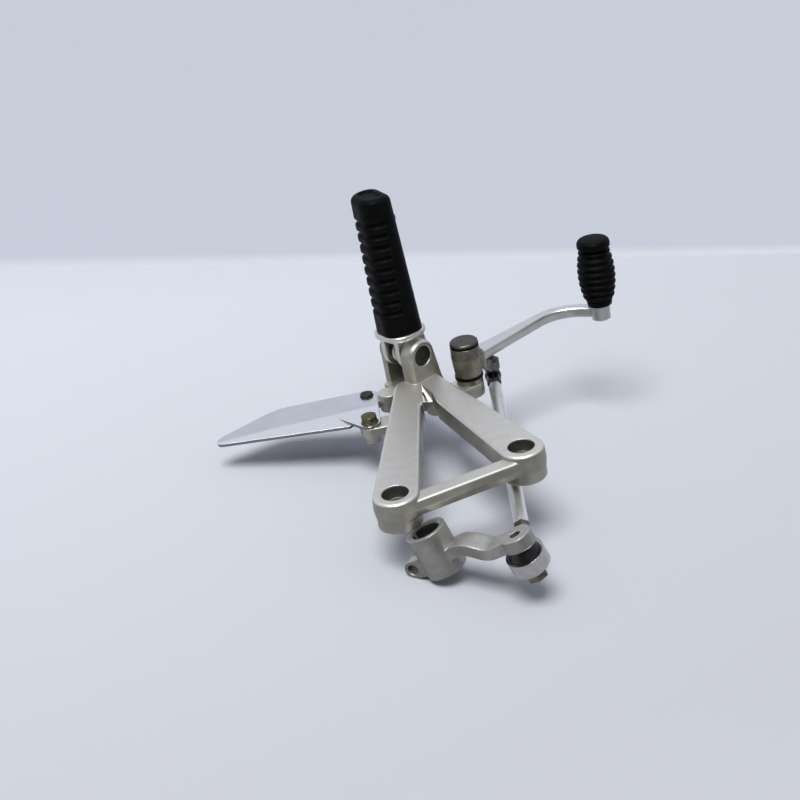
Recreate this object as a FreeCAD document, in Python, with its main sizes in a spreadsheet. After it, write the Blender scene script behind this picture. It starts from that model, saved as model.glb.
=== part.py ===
import FreeCAD, Part
import math
import os
import Sketcher
from FreeCAD import Vector

# Left-hand footrest bracket of a motorcycle, with its folding footpeg, heel guard, gear lever,
# link rod and shift arm. The frame bolts' pattern is the origin, the frame's face is z = 0,
# X runs along the two bolts and Z points away from the machine.

doc = FreeCAD.newDocument("footrest_bracket")
sheet = doc.addObject("Spreadsheet::Sheet", "sizes")

driving = {
    # casting: bolt bosses and arms
    "hole_pitch": 75, "boss_radius": 13, "boss_height": 18, "bolt_hole": 8.5,
    "counterbore": 15, "counterbore_depth": 7.5, "foot_step": 0.8,
    "arm_bottom": 5, "parting_height": 11, "draft_angle": 5, "arm_edge": 2,
    "left_apex_x": 17, "left_apex_y": 111, "left_apex_radius": 9,
    "right_apex_x": 29.5, "right_apex_y": 112, "right_apex_radius": 9,
    "notch_x": 17, "notch_y": 79, "notch_radius": 4.5,
    # casting: cross bar
    "bar_drop": 3, "bar_height": 9.5, "bar_width": 12, "bar_offset": -5.5, "bar_edge": 1.5, "bar_draft": 1,
    # casting: footpeg ears
    "pin_x": 25.1, "pin_y": 124, "pin_rise": 15.5, "pin_angle": 20, "pin_radius": 5,
    "ear_radius": 10, "back_ear_radius": 8.2, "front_face": 14, "front_ear": 9.5, "back_ear": 4,
    "ear_gap": 16.5, "ear_edge": 2, "ear_bevel": 1.8, "ear_bevel_angle": 38, "ear_flare": 4, "ear_floor": 12,
    "ear_floor_left": 11.5, "pin_head_radius": 6.5, "pin_head": 3, "pin_head_depth": 0.8,
    # casting: lug of the gear lever
    "pivot_x": 55.5, "pivot_y": 106, "lug_top": 9, "lug_thickness": 8.5, "lug_radius": 8.2,
    "lug_root_x": 31, "lug_root_y": 100,
    # heel guard and its lugs
    "guard_seat": 8.5, "guard_thickness": 1.8, "guard_lug": 5, "guard_lug_radius": 6.5,
    "guard_front_x": -15.5, "guard_front_y": 97, "guard_back_x": -4.5, "guard_back_y": 130.5,
    "guard_boss": 6, "guard_bolt": 6, "guard_bolt_length": 12, "guard_bolt_across": 9,
    "guard_bolt_head": 3.6, "guard_flange": 5.5, "guard_flange_height": 1,
    "guard_tip_x": -97.5, "guard_tip_y": 138, "guard_tip_radius": 3, "guard_fold": 12, "guard_crease": 4,
    "guard_root_x": -26, "guard_root_y": 109, "guard_root_radius": 5,
    "guard_bulge_x": -57.5, "guard_bulge_y": 118, "guard_bulge_radius": 34,
    "lobe_x": 5, "lobe_y": 115, "lobe_radius": 6.5, "lobe_height": 11,
    # footpeg
    "peg_gap": 0.3, "peg_width": 27, "peg_length": 86, "peg_centre": 0.6,
    "tread_face": 16, "tread_corner": 10, "back_corner": 8, "rubber_edge": 2.4, "rubber_cap": 4,
    "core_face": 6.5, "core_back": 9, "core_tip": 3.8, "core_width": 11, "core_proud": 0.5,
    "flange_base": 14, "flange_thickness": 3.5, "flange_rim": 1.2, "flange_round": 1.2,
    "tongue_radius": 10, "tongue_edge": 1, "heel_reach": 16.5, "heel_width": 5,
    "spring_clear": 9.2,
    "groove_count": 9, "groove_pitch": 7, "groove_width": 2.6, "groove_depth": 2.4, "groove_end": 4,
    "screw_radius": 2, "screw_head_radius": 3.6, "screw_head": 2.4, "screw_length": 14, "screw_pitch": 50,
    # pin fittings and spring
    "washer_thickness": 1, "washer_radius": 7.8, "clip_thickness": 1, "clip_radius": 7,
    "clip_groove": 1, "clip_opening": 5, "pin_tail": 1.6,
    "wire_radius": 1.1, "spring_turns": 2.5, "spring_pitch": 2.5, "wire_sides": 6,
    # gear lever
    "collar_height": 3.6, "collar_radius": 8.2, "seal_height": 1.5, "seal_radius": 8.8,
    "lever_boss": 19.6, "lever_boss_radius": 9.2, "lever_boss_taper": 0.9, "lever_parting": 12.5,
    "shoulder_radius": 5, "bush_wall": 1.5, "pivot_thread": 8, "pivot_head_radius": 8.6, "pivot_head": 1.7,
    "pivot_head_edge": 0.6,
    "lever_level": 9.3, "lever_thickness": 7, "lever_width": 7.5, "lever_root": 6, "lever_edge": 2,
    "bend_x": 68.8, "bend_y": -7.7, "bend_radius": 28, "toe_x": 97, "toe_y": 4,
    "toe_boss_radius": 6, "toe_boss": 9.5, "spigot_radius": 5,
    "toe_length": 44, "toe_radius": 11.8, "toe_end_radius": 9, "toe_ribs": 8, "toe_rib_depth": 1.3,
    "toe_band": 5, "toe_cap": 3,
    "link_arm": 19, "link_angle": 18.4, "link_eye_radius": 5.2, "link_eye": 6, "link_drop": 0.3,
    "link_arm_width": 8, "link_arm_root": 7,
    # ball joints and link rod
    "stud_radius": 2.5, "ball_radius": 3.6, "ball_drop": 5.4, "stud_head_radius": 3.8, "stud_head": 2,
    "socket_radius": 5.2, "socket_face": 2.6, "fit_clearance": 0.05, "boot_gap": 0.3,
    "near_x": 9, "near_y": -53.9, "near_z": -13, "housing_roll": -19.3,
    "rod_radius": 4, "thread_radius": 3, "shank_radius": 4.4, "far_shank": 9, "near_shank": 23,
    "nut_across": 8, "nut_height": 4, "nut_overlap": 4,
    "ring_radius": 10.5, "ring_width": 9, "bearing_radius": 8, "bearing_width": 12.8,
    # shift arm
    "arm_yaw": 131.9, "arm_pitch": 21, "eye_level": 11.5, "eye_radius": 8.5, "eye_thickness": 7,
    "link_bolt_radius": 3, "link_bolt_head": 4.5, "link_bolt_across": 10, "link_washer_radius": 5.6,
    "link_washer": 1.2, "boot_wall": 3, "boot_lip": 1.5,
    "clamp_x": 49.2, "clamp_base": 5, "clamp_length": 25, "clamp_radius": 11.3, "clamp_bore": 7.5,
    "clamp_chamfer": 1.2, "clamp_slit": 2.4, "pinch_width": 16, "pinch_height": 13,
    "pinch_level": 12.5, "pinch_hole": 3.3, "pinch_axis": 14.7, "pinch_corner": 5,
    "strap_width": 13, "strap_thickness": 6.4, "dip_x": 15, "dip_radius": 12, "hump_x": 33,
    "hump_radius": 14, "hump_rise": 5, "strap_dip": 1.5, "dimple_depth": 1.2,
}


class Size:
    # a number together with the sheet formula that gives it
    def __init__(self, value, text):
        self.value = value
        self.text = text

    def __add__(self, other):
        return Size(self.value + number(other), f"({self.text} + {formula(other)})")

    def __radd__(self, other):
        return Size(number(other) + self.value, f"({formula(other)} + {self.text})")

    def __sub__(self, other):
        return Size(self.value - number(other), f"({self.text} - {formula(other)})")

    def __rsub__(self, other):
        return Size(number(other) - self.value, f"({formula(other)} - {self.text})")

    def __mul__(self, other):
        return Size(self.value * number(other), f"({self.text} * {formula(other)})")

    def __rmul__(self, other):
        return Size(number(other) * self.value, f"({formula(other)} * {self.text})")

    def __truediv__(self, other):
        return Size(self.value / number(other), f"({self.text} / {formula(other)})")

    def __neg__(self):
        return Size(-self.value, f"(0 - {self.text})")


class Sizes:
    pass


def number(value):
    return value.value if isinstance(value, Size) else float(value)


def formula(value):
    return value.text if isinstance(value, Size) else repr(float(value))


def cosine(angle):
    return Size(math.cos(math.radians(number(angle))), f"cos({formula(angle)} * 1 deg)")


def sine(angle):
    return Size(math.sin(math.radians(number(angle))), f"sin({formula(angle)} * 1 deg)")


def root(value):
    return Size(math.sqrt(number(value)), f"sqrt({formula(value)})")


def bearing(across, along):
    angle = math.degrees(math.atan2(number(across), number(along)))
    return Size(angle, f"(atan2({formula(across)}; {formula(along)}) / 1 deg)")


size = Sizes()
for row, (name, value) in enumerate(driving.items(), start=1):
    sheet.set(f"A{row}", name)
    sheet.set(f"B{row}", str(value))
    sheet.setAlias(f"B{row}", name)
    setattr(size, name, Size(value, "sizes." + name))
doc.recompute()

pieces = []


def bind(item, field, value):
    if isinstance(value, Size):
        item.setExpression(field, value.text)
    else:
        setattr(item, field, value)


def frame(x=0, y=0, z=0, yaw=0, pitch=0, roll=0):
    place = "; ".join(formula(value) for value in (x, y, z))
    turn = "; ".join(formula(value) for value in (yaw, pitch, roll))
    return f"create(<<placement>>; create(<<vector>>; {place}); create(<<rotation>>; {turn}))"


def put(piece, **where):
    piece.setExpression("Placement", frame(**where))
    return piece


def new_piece(kind, name):
    piece = doc.addObject(kind, name)
    piece.Label = name
    pieces.append(piece)
    return piece


def new_body(name):
    return new_piece("PartDesign::Body", name)


def new_sketch(body, **where):
    sketch = body.newObject("Sketcher::SketchObject", body.Name + "_sketch")
    plane = [item for item in body.Origin.OriginFeatures if item.Role == "XY_Plane"][0]
    sketch.AttachmentSupport = (plane, [""])
    sketch.MapMode = "FlatFace"
    sketch.setExpression("AttachmentOffset", frame(**where))
    return sketch


def hold(sketch, rule, value):
    index = sketch.addConstraint(rule)
    if isinstance(value, Size):
        label = f"size{index}"
        sketch.renameConstraint(index, label)
        sketch.setExpression("Constraints." + label, value.text)


def hold_point(sketch, geometry, point, x, y):
    hold(sketch, Sketcher.Constraint("DistanceX", -1, 1, geometry, point, number(x)), x)
    hold(sketch, Sketcher.Constraint("DistanceY", -1, 1, geometry, point, number(y)), y)


def circle(sketch, x, y, radius):
    middle = Vector(number(x), number(y), 0)
    index = sketch.addGeometry(Part.Circle(middle, Vector(0, 0, 1), number(radius)))
    hold_point(sketch, index, 3, x, y)
    hold(sketch, Sketcher.Constraint("Radius", index, number(radius)), radius)
    return sketch


def polygon(sketch, points):
    # straight-sided outline through the given corners
    corners = [Vector(number(x), number(y), 0) for x, y in points]
    count = len(corners)
    base = sketch.GeometryCount
    for i in range(count):
        sketch.addGeometry(Part.LineSegment(corners[i], corners[(i + 1) % count]))
    for i in range(count):
        sketch.addConstraint(Sketcher.Constraint("Coincident", base + i, 2, base + (i + 1) % count, 1))
    for i, (x, y) in enumerate(points):
        hold_point(sketch, base + i, 1, x, y)
    return sketch


def belt(sketch, rounds):
    # outline of tangent lines drawn counter-clockwise round circles; a negative radius bends inwards
    count = len(rounds)
    arcs = sketch.GeometryCount
    lines = arcs + count
    centres = [Vector(number(x), number(y), 0) for x, y, radius in rounds]
    radii = [number(radius) for x, y, radius in rounds]
    leave = [None] * count
    arrive = [None] * count
    for i in range(count):
        j = (i + 1) % count
        step = centres[j] - centres[i]
        turn = math.atan2(step.y, step.x) - math.asin((radii[j] - radii[i]) / step.Length)
        side = Vector(-math.sin(turn), math.cos(turn), 0)
        leave[i] = centres[i] - side * radii[i]
        arrive[j] = centres[j] - side * radii[j]
    for i in range(count):
        ends = (arrive[i], leave[i]) if radii[i] > 0 else (leave[i], arrive[i])
        first, last = [math.atan2(end.y - centres[i].y, end.x - centres[i].x) for end in ends]
        if last <= first:
            last = last + 2 * math.pi
        ring = Part.Circle(centres[i], Vector(0, 0, 1), abs(radii[i]))
        sketch.addGeometry(Part.ArcOfCircle(ring, first, last))
    for i in range(count):
        sketch.addGeometry(Part.LineSegment(leave[i], arrive[(i + 1) % count]))
    for i in range(count):
        j = (i + 1) % count
        goes = 2 if radii[i] > 0 else 1
        comes = 1 if radii[j] > 0 else 2
        sketch.addConstraint(Sketcher.Constraint("Tangent", arcs + i, goes, lines + i, 1))
        sketch.addConstraint(Sketcher.Constraint("Tangent", lines + i, 2, arcs + j, comes))
    for i, (x, y, radius) in enumerate(rounds):
        hold_point(sketch, arcs + i, 3, x, y)
        width = radius if radii[i] > 0 else -radius
        hold(sketch, Sketcher.Constraint("Radius", arcs + i, number(width)), width)
    return sketch


def rounded_box(sketch, left, right, bottom, top, corner):
    return belt(sketch, [(left + corner, bottom + corner, corner), (right - corner, bottom + corner, corner),
                         (right - corner, top - corner, corner), (left + corner, top - corner, corner)])


def extrude(body, kind, sketch, length, centred=False):
    feature = body.newObject("PartDesign::" + kind, body.Name + "_" + kind.lower())
    feature.Profile = sketch
    bind(feature, "Length", length)
    if centred:
        feature.SideType = "Symmetric"
    return feature


def pad(body, sketch, length, centred=False):
    return extrude(body, "Pad", sketch, length, centred)


def pocket(body, sketch, length):
    # cuts to both sides of the sketch, half the length each way
    return extrude(body, "Pocket", sketch, length, True)


def revolve(body, kind, sketch):
    feature = body.newObject("PartDesign::" + kind, body.Name + "_" + kind.lower())
    feature.Profile = sketch
    feature.ReferenceAxis = (sketch, ["V_Axis"])
    feature.Angle = 360
    return feature


def turned(body, points, kind="Revolution", **where):
    # half section in radius and height, turned about the vertical axis
    return revolve(body, kind, polygon(new_sketch(body, roll=90, **where), points))


def hexagon(body, across, height, z=0):
    corner = across / math.sqrt(3)
    sketch = new_sketch(body, z=z)
    points = [(corner * math.cos(math.radians(60 * i)), corner * math.sin(math.radians(60 * i)))
              for i in range(6)]
    polygon(sketch, points)
    return pad(body, sketch, height)


def soften(body, reach, wanted, kind="Fillet", measure="Radius"):
    doc.recompute()
    base = body.Tip
    names = [f"Edge{i}" for i, edge in enumerate(base.Shape.Edges, start=1) if wanted(edge)]
    feature = body.newObject("PartDesign::" + kind, body.Name + "_rim")
    feature.Base = (base, names)
    bind(feature, measure, reach)
    doc.recompute()
    return feature


def bevel(body, reach, wanted):
    return soften(body, reach, wanted, "Chamfer", "Size")


def at_height(edge, height):
    box = edge.BoundBox
    level = number(height)
    return abs(box.ZMin - level) < 0.001 and abs(box.ZMax - level) < 0.001


def near(edge, x, y, reach):
    middle = edge.CenterOfMass
    return math.hypot(middle.x - number(x), middle.y - number(y)) < number(reach)


# Places that several pieces share
half_pitch = size.hole_pitch / 2
arm_top = size.boss_height
pin_z = arm_top + size.pin_rise
ear_back = size.front_ear - size.front_face
gap_end = ear_back + size.ear_gap
clevis_end = gap_end + size.back_ear
clevis = dict(x=size.pin_x, y=size.pin_y, yaw=size.pin_angle)
hinge = dict(z=pin_z, **clevis)
pin_hole = size.pin_radius + size.fit_clearance
seal_base = size.collar_height
boss_base = seal_base + size.seal_height
boss_end = boss_base + size.lever_boss
pivot = dict(x=size.pivot_x, y=size.pivot_y, z=size.lug_top)
eye_base = size.link_drop
spigot_length = size.toe_length - size.toe_cap
far_x = size.pivot_x + size.link_arm * cosine(size.link_angle)
far_y = size.pivot_y + size.link_arm * sine(size.link_angle)
far_z = size.lug_top + eye_base - size.ball_drop
run_x = far_x - size.near_x
run_y = far_y - size.near_y
run_z = far_z - size.near_z
run_flat = root(run_x * run_x + run_y * run_y)
rod_length = root(run_x * run_x + run_y * run_y + run_z * run_z)
rod_yaw = bearing(run_y, run_x)
rod_pitch = bearing(-run_z, run_flat)
rod = dict(x=size.near_x, y=size.near_y, z=size.near_z, yaw=rod_yaw, pitch=rod_pitch, roll=size.housing_roll)
shift = dict(x=size.near_x, y=size.near_y, z=size.near_z, yaw=size.arm_yaw, pitch=size.arm_pitch)
guard_bolts = {"front": (size.guard_front_x, size.guard_front_y),
               "back": (size.guard_back_x, size.guard_back_y)}


def make_bracket():
    body = new_body("footrest_bracket")
    # the two arms, drafted to both sides of the parting line
    outline = [(half_pitch, 0, size.boss_radius),
               (size.right_apex_x, size.right_apex_y, size.right_apex_radius),
               (size.left_apex_x, size.left_apex_y, size.left_apex_radius),
               (-half_pitch, 0, size.boss_radius),
               (size.notch_x, size.notch_y, -size.notch_radius)]
    for level, up in ((arm_top - size.parting_height, False), (size.parting_height - size.arm_bottom, True)):
        sketch = belt(new_sketch(body, z=size.parting_height), outline)
        half = pad(body, sketch, level)
        half.Reversed = up
        bind(half, "TaperAngle", -size.draft_angle)
    rim = [arm_top, size.arm_bottom]
    soften(body, size.arm_edge, lambda edge: any(at_height(edge, level) for level in rim))
    # feet of the bosses on the frame
    for side in (-1, 1):
        foot = circle(new_sketch(body), side * half_pitch, 0, size.boss_radius - size.foot_step)
        pad(body, foot, size.parting_height)
    # cross bar with the same parting line
    bar_top = arm_top - size.bar_drop
    bar_base = bar_top - size.bar_height
    near_side = size.bar_offset - size.bar_width / 2
    far_side = size.bar_offset + size.bar_width / 2
    edge = size.bar_edge
    ridge = bar_base + size.bar_height / 2
    section = belt(new_sketch(body, yaw=90, roll=90),
                   [(near_side + edge + size.bar_draft, bar_base + edge, edge),
                    (far_side - edge - size.bar_draft, bar_base + edge, edge),
                    (far_side - edge, ridge, edge),
                    (far_side - edge - size.bar_draft, bar_top - edge, edge),
                    (near_side + edge + size.bar_draft, bar_top - edge, edge),
                    (near_side + edge, ridge, edge)])
    pad(body, section, size.hole_pitch, True)
    # floor under the ears
    floor = new_sketch(body, z=size.arm_bottom, **clevis)
    rounded_box(floor, -size.ear_floor_left, size.heel_reach - size.tongue_edge,
                -size.front_face + size.ear_edge, clevis_end, size.ear_edge)
    pad(body, floor, size.ear_floor - size.arm_bottom)
    # the ears, one thick and one thin
    bevel_start = size.ear_bevel - size.front_face
    for start, depth, radius in ((bevel_start, size.front_ear - size.ear_bevel, size.ear_radius),
                                 (gap_end, size.back_ear, size.back_ear_radius)):
        ear = new_sketch(body, x=size.pin_x - start * sine(size.pin_angle),
                         y=size.pin_y + start * cosine(size.pin_angle), z=pin_z, yaw=size.pin_angle, roll=90)
        corner = size.ear_edge
        foot_level = size.ear_floor - pin_z - corner / 2
        belt(ear, [(0, 0, radius), (corner - radius, foot_level, corner),
                   (radius + size.ear_flare - corner, foot_level, corner)])
        wall = pad(body, ear, depth)
        wall.Reversed = True
        if start is bevel_start:
            bevel = pad(body, ear, size.ear_bevel)
            bind(bevel, "TaperAngle", -size.ear_bevel_angle)
    # lug of the gear lever
    lug = new_sketch(body, z=size.lug_top - size.lug_thickness)
    belt(lug, [(size.pivot_x, size.pivot_y, size.lug_radius),
               (size.lug_root_x, size.lug_root_y, size.lug_radius)])
    pad(body, lug, size.lug_thickness)
    # lugs of the heel guard and the rounded lobe beside the ears
    roots = {"front": (size.left_apex_x - size.left_apex_radius, size.guard_front_y - size.guard_lug_radius),
             "back": (size.pin_x - size.ear_radius, size.pin_y)}
    for end, (x, y) in guard_bolts.items():
        tab = new_sketch(body, z=size.guard_seat - size.guard_lug)
        belt(tab, [(x, y, size.guard_lug_radius), roots[end] + (size.guard_lug_radius,)])
        pad(body, tab, size.guard_lug)
        cone = circle(new_sketch(body, z=size.guard_seat - size.guard_lug), x, y,
                      size.guard_lug_radius - size.foot_step)
        thread = pad(body, cone, size.guard_boss)
        thread.Reversed = True
        bind(thread, "TaperAngle", -2 * size.draft_angle)
    lobe = circle(new_sketch(body, z=size.arm_bottom), size.lobe_x, size.lobe_y, size.lobe_radius)
    pad(body, lobe, size.lobe_height)
    # holes
    deep = size.boss_height * 4
    for side in (-1, 1):
        pocket(body, circle(new_sketch(body), side * half_pitch, 0, size.bolt_hole / 2), deep)
        pocket(body, circle(new_sketch(body, z=arm_top), side * half_pitch, 0, size.counterbore / 2),
               size.counterbore_depth * 2)
    across = new_sketch(body, z=pin_z, roll=90, **clevis)
    pocket(body, circle(across, 0, 0, pin_hole), deep)
    seat = new_sketch(body, x=size.pin_x + size.front_face * sine(size.pin_angle),
                      y=size.pin_y - size.front_face * cosine(size.pin_angle), z=pin_z,
                      yaw=size.pin_angle, roll=90)
    pocket(body, circle(seat, 0, 0, size.pin_head_radius + size.fit_clearance),
           2 * (size.pin_head + size.pin_head_depth))
    tapped = size.pivot_thread / 2 + size.fit_clearance
    pocket(body, circle(new_sketch(body), size.pivot_x, size.pivot_y, tapped), deep)
    for x, y in guard_bolts.values():
        pocket(body, circle(new_sketch(body), x, y, size.guard_bolt / 2 + size.fit_clearance), deep)
    return body


def make_heel_guard():
    body = new_body("heel_guard")
    put(body, z=size.guard_seat)
    back = guard_bolts["back"] + (size.guard_lug_radius,)
    front = guard_bolts["front"] + (size.guard_lug_radius,)
    tip = (size.guard_tip_x, size.guard_tip_y, size.guard_tip_radius)
    near_root = (size.guard_root_x, size.guard_root_y, size.guard_root_radius)
    # sheet with its near strip folded down along a straight crease
    reach_x = size.guard_root_x - size.guard_tip_x
    reach_y = size.guard_root_y - size.guard_tip_y
    reach = root(reach_x * reach_x + reach_y * reach_y)
    crease_x = size.guard_root_x - size.guard_crease * reach_y / reach
    crease_y = size.guard_root_y + size.guard_crease * reach_x / reach
    wide = size.guard_bulge_radius * 3
    low = wide * sine(size.guard_fold)
    out = wide * cosine(size.guard_fold)
    thick = size.guard_thickness
    section = new_sketch(body, x=crease_x, y=crease_y, yaw=bearing(reach_y, reach_x) + 90, roll=90)
    polygon(section, [(-out, -low), (0, 0), (wide, 0), (wide, thick), (0, thick), (-out, thick - low)])
    pad(body, section, 4 * reach, True)
    # blade outline
    blade = belt(new_sketch(body),
                 [near_root, back, (size.guard_bulge_x, size.guard_bulge_y, size.guard_bulge_radius), tip])
    far = 4 * reach
    polygon(blade, [(-far, -far), (far, -far), (far, far), (-far, far)])
    pocket(body, blade, 4 * wide)
    # flat tab under the two bolts
    middle_y = size.guard_root_y + 2 * size.guard_root_radius
    tab = belt(new_sketch(body), [front, back, (size.guard_root_x, middle_y, size.guard_root_radius)])
    pad(body, tab, thick)
    for x, y in guard_bolts.values():
        pocket(body, circle(new_sketch(body), x, y, size.guard_bolt / 2 + size.fit_clearance), 4 * thick)
    return body


def make_guard_bolts():
    for end, (x, y) in guard_bolts.items():
        body = new_body(f"heel_guard_{end}_bolt")
        seat = size.guard_thickness
        shank = size.guard_bolt / 2
        crown = seat + size.guard_flange_height
        tail = seat - size.guard_bolt_length
        turned(body, [(0, tail), (shank, tail), (shank, seat), (size.guard_flange, seat),
                      (size.guard_bolt_across / 2, crown), (0, crown)])
        hexagon(body, size.guard_bolt_across, size.guard_bolt_head, crown)
        put(body, x=x, y=y, z=size.guard_seat)


def make_pin_set():
    # the hinge pin with its head in the thick ear, and what holds its tail
    along = dict(roll=90, **hinge)
    head_face = size.front_face - size.pin_head_depth
    head_seat = head_face - size.pin_head
    washer_end = -clevis_end - size.washer_thickness
    clip_end = washer_end - size.clip_thickness
    tail = clip_end - size.pin_tail
    neck = size.pin_radius - size.clip_groove
    pin = new_body("footpeg_pin")
    turned(pin, [(0, tail), (size.pin_radius, tail), (size.pin_radius, clip_end), (neck, clip_end),
                 (neck, washer_end), (size.pin_radius, washer_end), (size.pin_radius, head_seat),
                 (size.pin_head_radius, head_seat), (size.pin_head_radius, head_face), (0, head_face)])
    put(pin, **along)
    washer = new_body("pin_washer")
    turned(washer, [(pin_hole, washer_end), (size.washer_radius, washer_end),
                    (size.washer_radius, -clevis_end), (pin_hole, -clevis_end)])
    put(washer, **along)
    clip = new_body("pin_clip")
    turned(clip, [(neck, clip_end), (size.clip_radius, clip_end), (size.clip_radius, washer_end),
                  (neck, washer_end)])
    mouth = new_sketch(clip, z=clip_end)
    half = size.clip_opening / 2
    outside = 2 * size.clip_radius
    polygon(mouth, [(0, -half), (outside, -half), (outside, half), (0, half)])
    pocket(clip, mouth, 4 * size.clip_thickness)
    put(clip, **along)


def wire_section(sketch, x, y):
    # many-sided section of the spring wire
    sides = int(size.wire_sides.value)
    turns = [2 * math.pi * (index + 0.5) / sides for index in range(sides)]
    return polygon(sketch, [(x + size.wire_radius * math.cos(turn), y + size.wire_radius * math.sin(turn))
                            for turn in turns])


def make_spring():
    body = new_body("footpeg_spring")
    coil_radius = pin_hole + size.peg_gap + size.wire_radius
    start = size.spring_turns * size.spring_pitch / 2
    profile = wire_section(new_sketch(body, roll=90), coil_radius, -start)
    coil = body.newObject("PartDesign::AdditiveHelix", "coil")
    coil.Profile = profile
    coil.ReferenceAxis = (profile, ["V_Axis"])
    coil.Mode = 1
    bind(coil, "Pitch", size.spring_pitch)
    bind(coil, "Turns", size.spring_turns)
    # straight leg that bears on the floor between the ears
    leg = wire_section(new_sketch(body, roll=90), coil_radius, -start)
    pad(body, leg, pin_z - size.ear_floor - size.peg_gap)
    put(body, x=size.pin_x - spring_middle * sine(size.pin_angle),
        y=size.pin_y + spring_middle * cosine(size.pin_angle), z=pin_z, yaw=size.pin_angle, roll=90)


def peg_outline(sketch, core_end, grow):
    # oval section of the peg, wider in front than behind
    front = size.tread_corner - size.tread_face
    back = core_end - size.core_proud - size.back_corner
    wide = size.peg_width / 2 - size.tread_corner
    narrow = size.peg_width / 2 - size.back_corner
    middle = -size.peg_centre
    return belt(sketch, [(front, middle - wide, size.tread_corner + grow),
                         (back, middle - narrow, size.back_corner + grow),
                         (back, middle + narrow, size.back_corner + grow),
                         (front, middle + wide, size.tread_corner + grow)])


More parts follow.
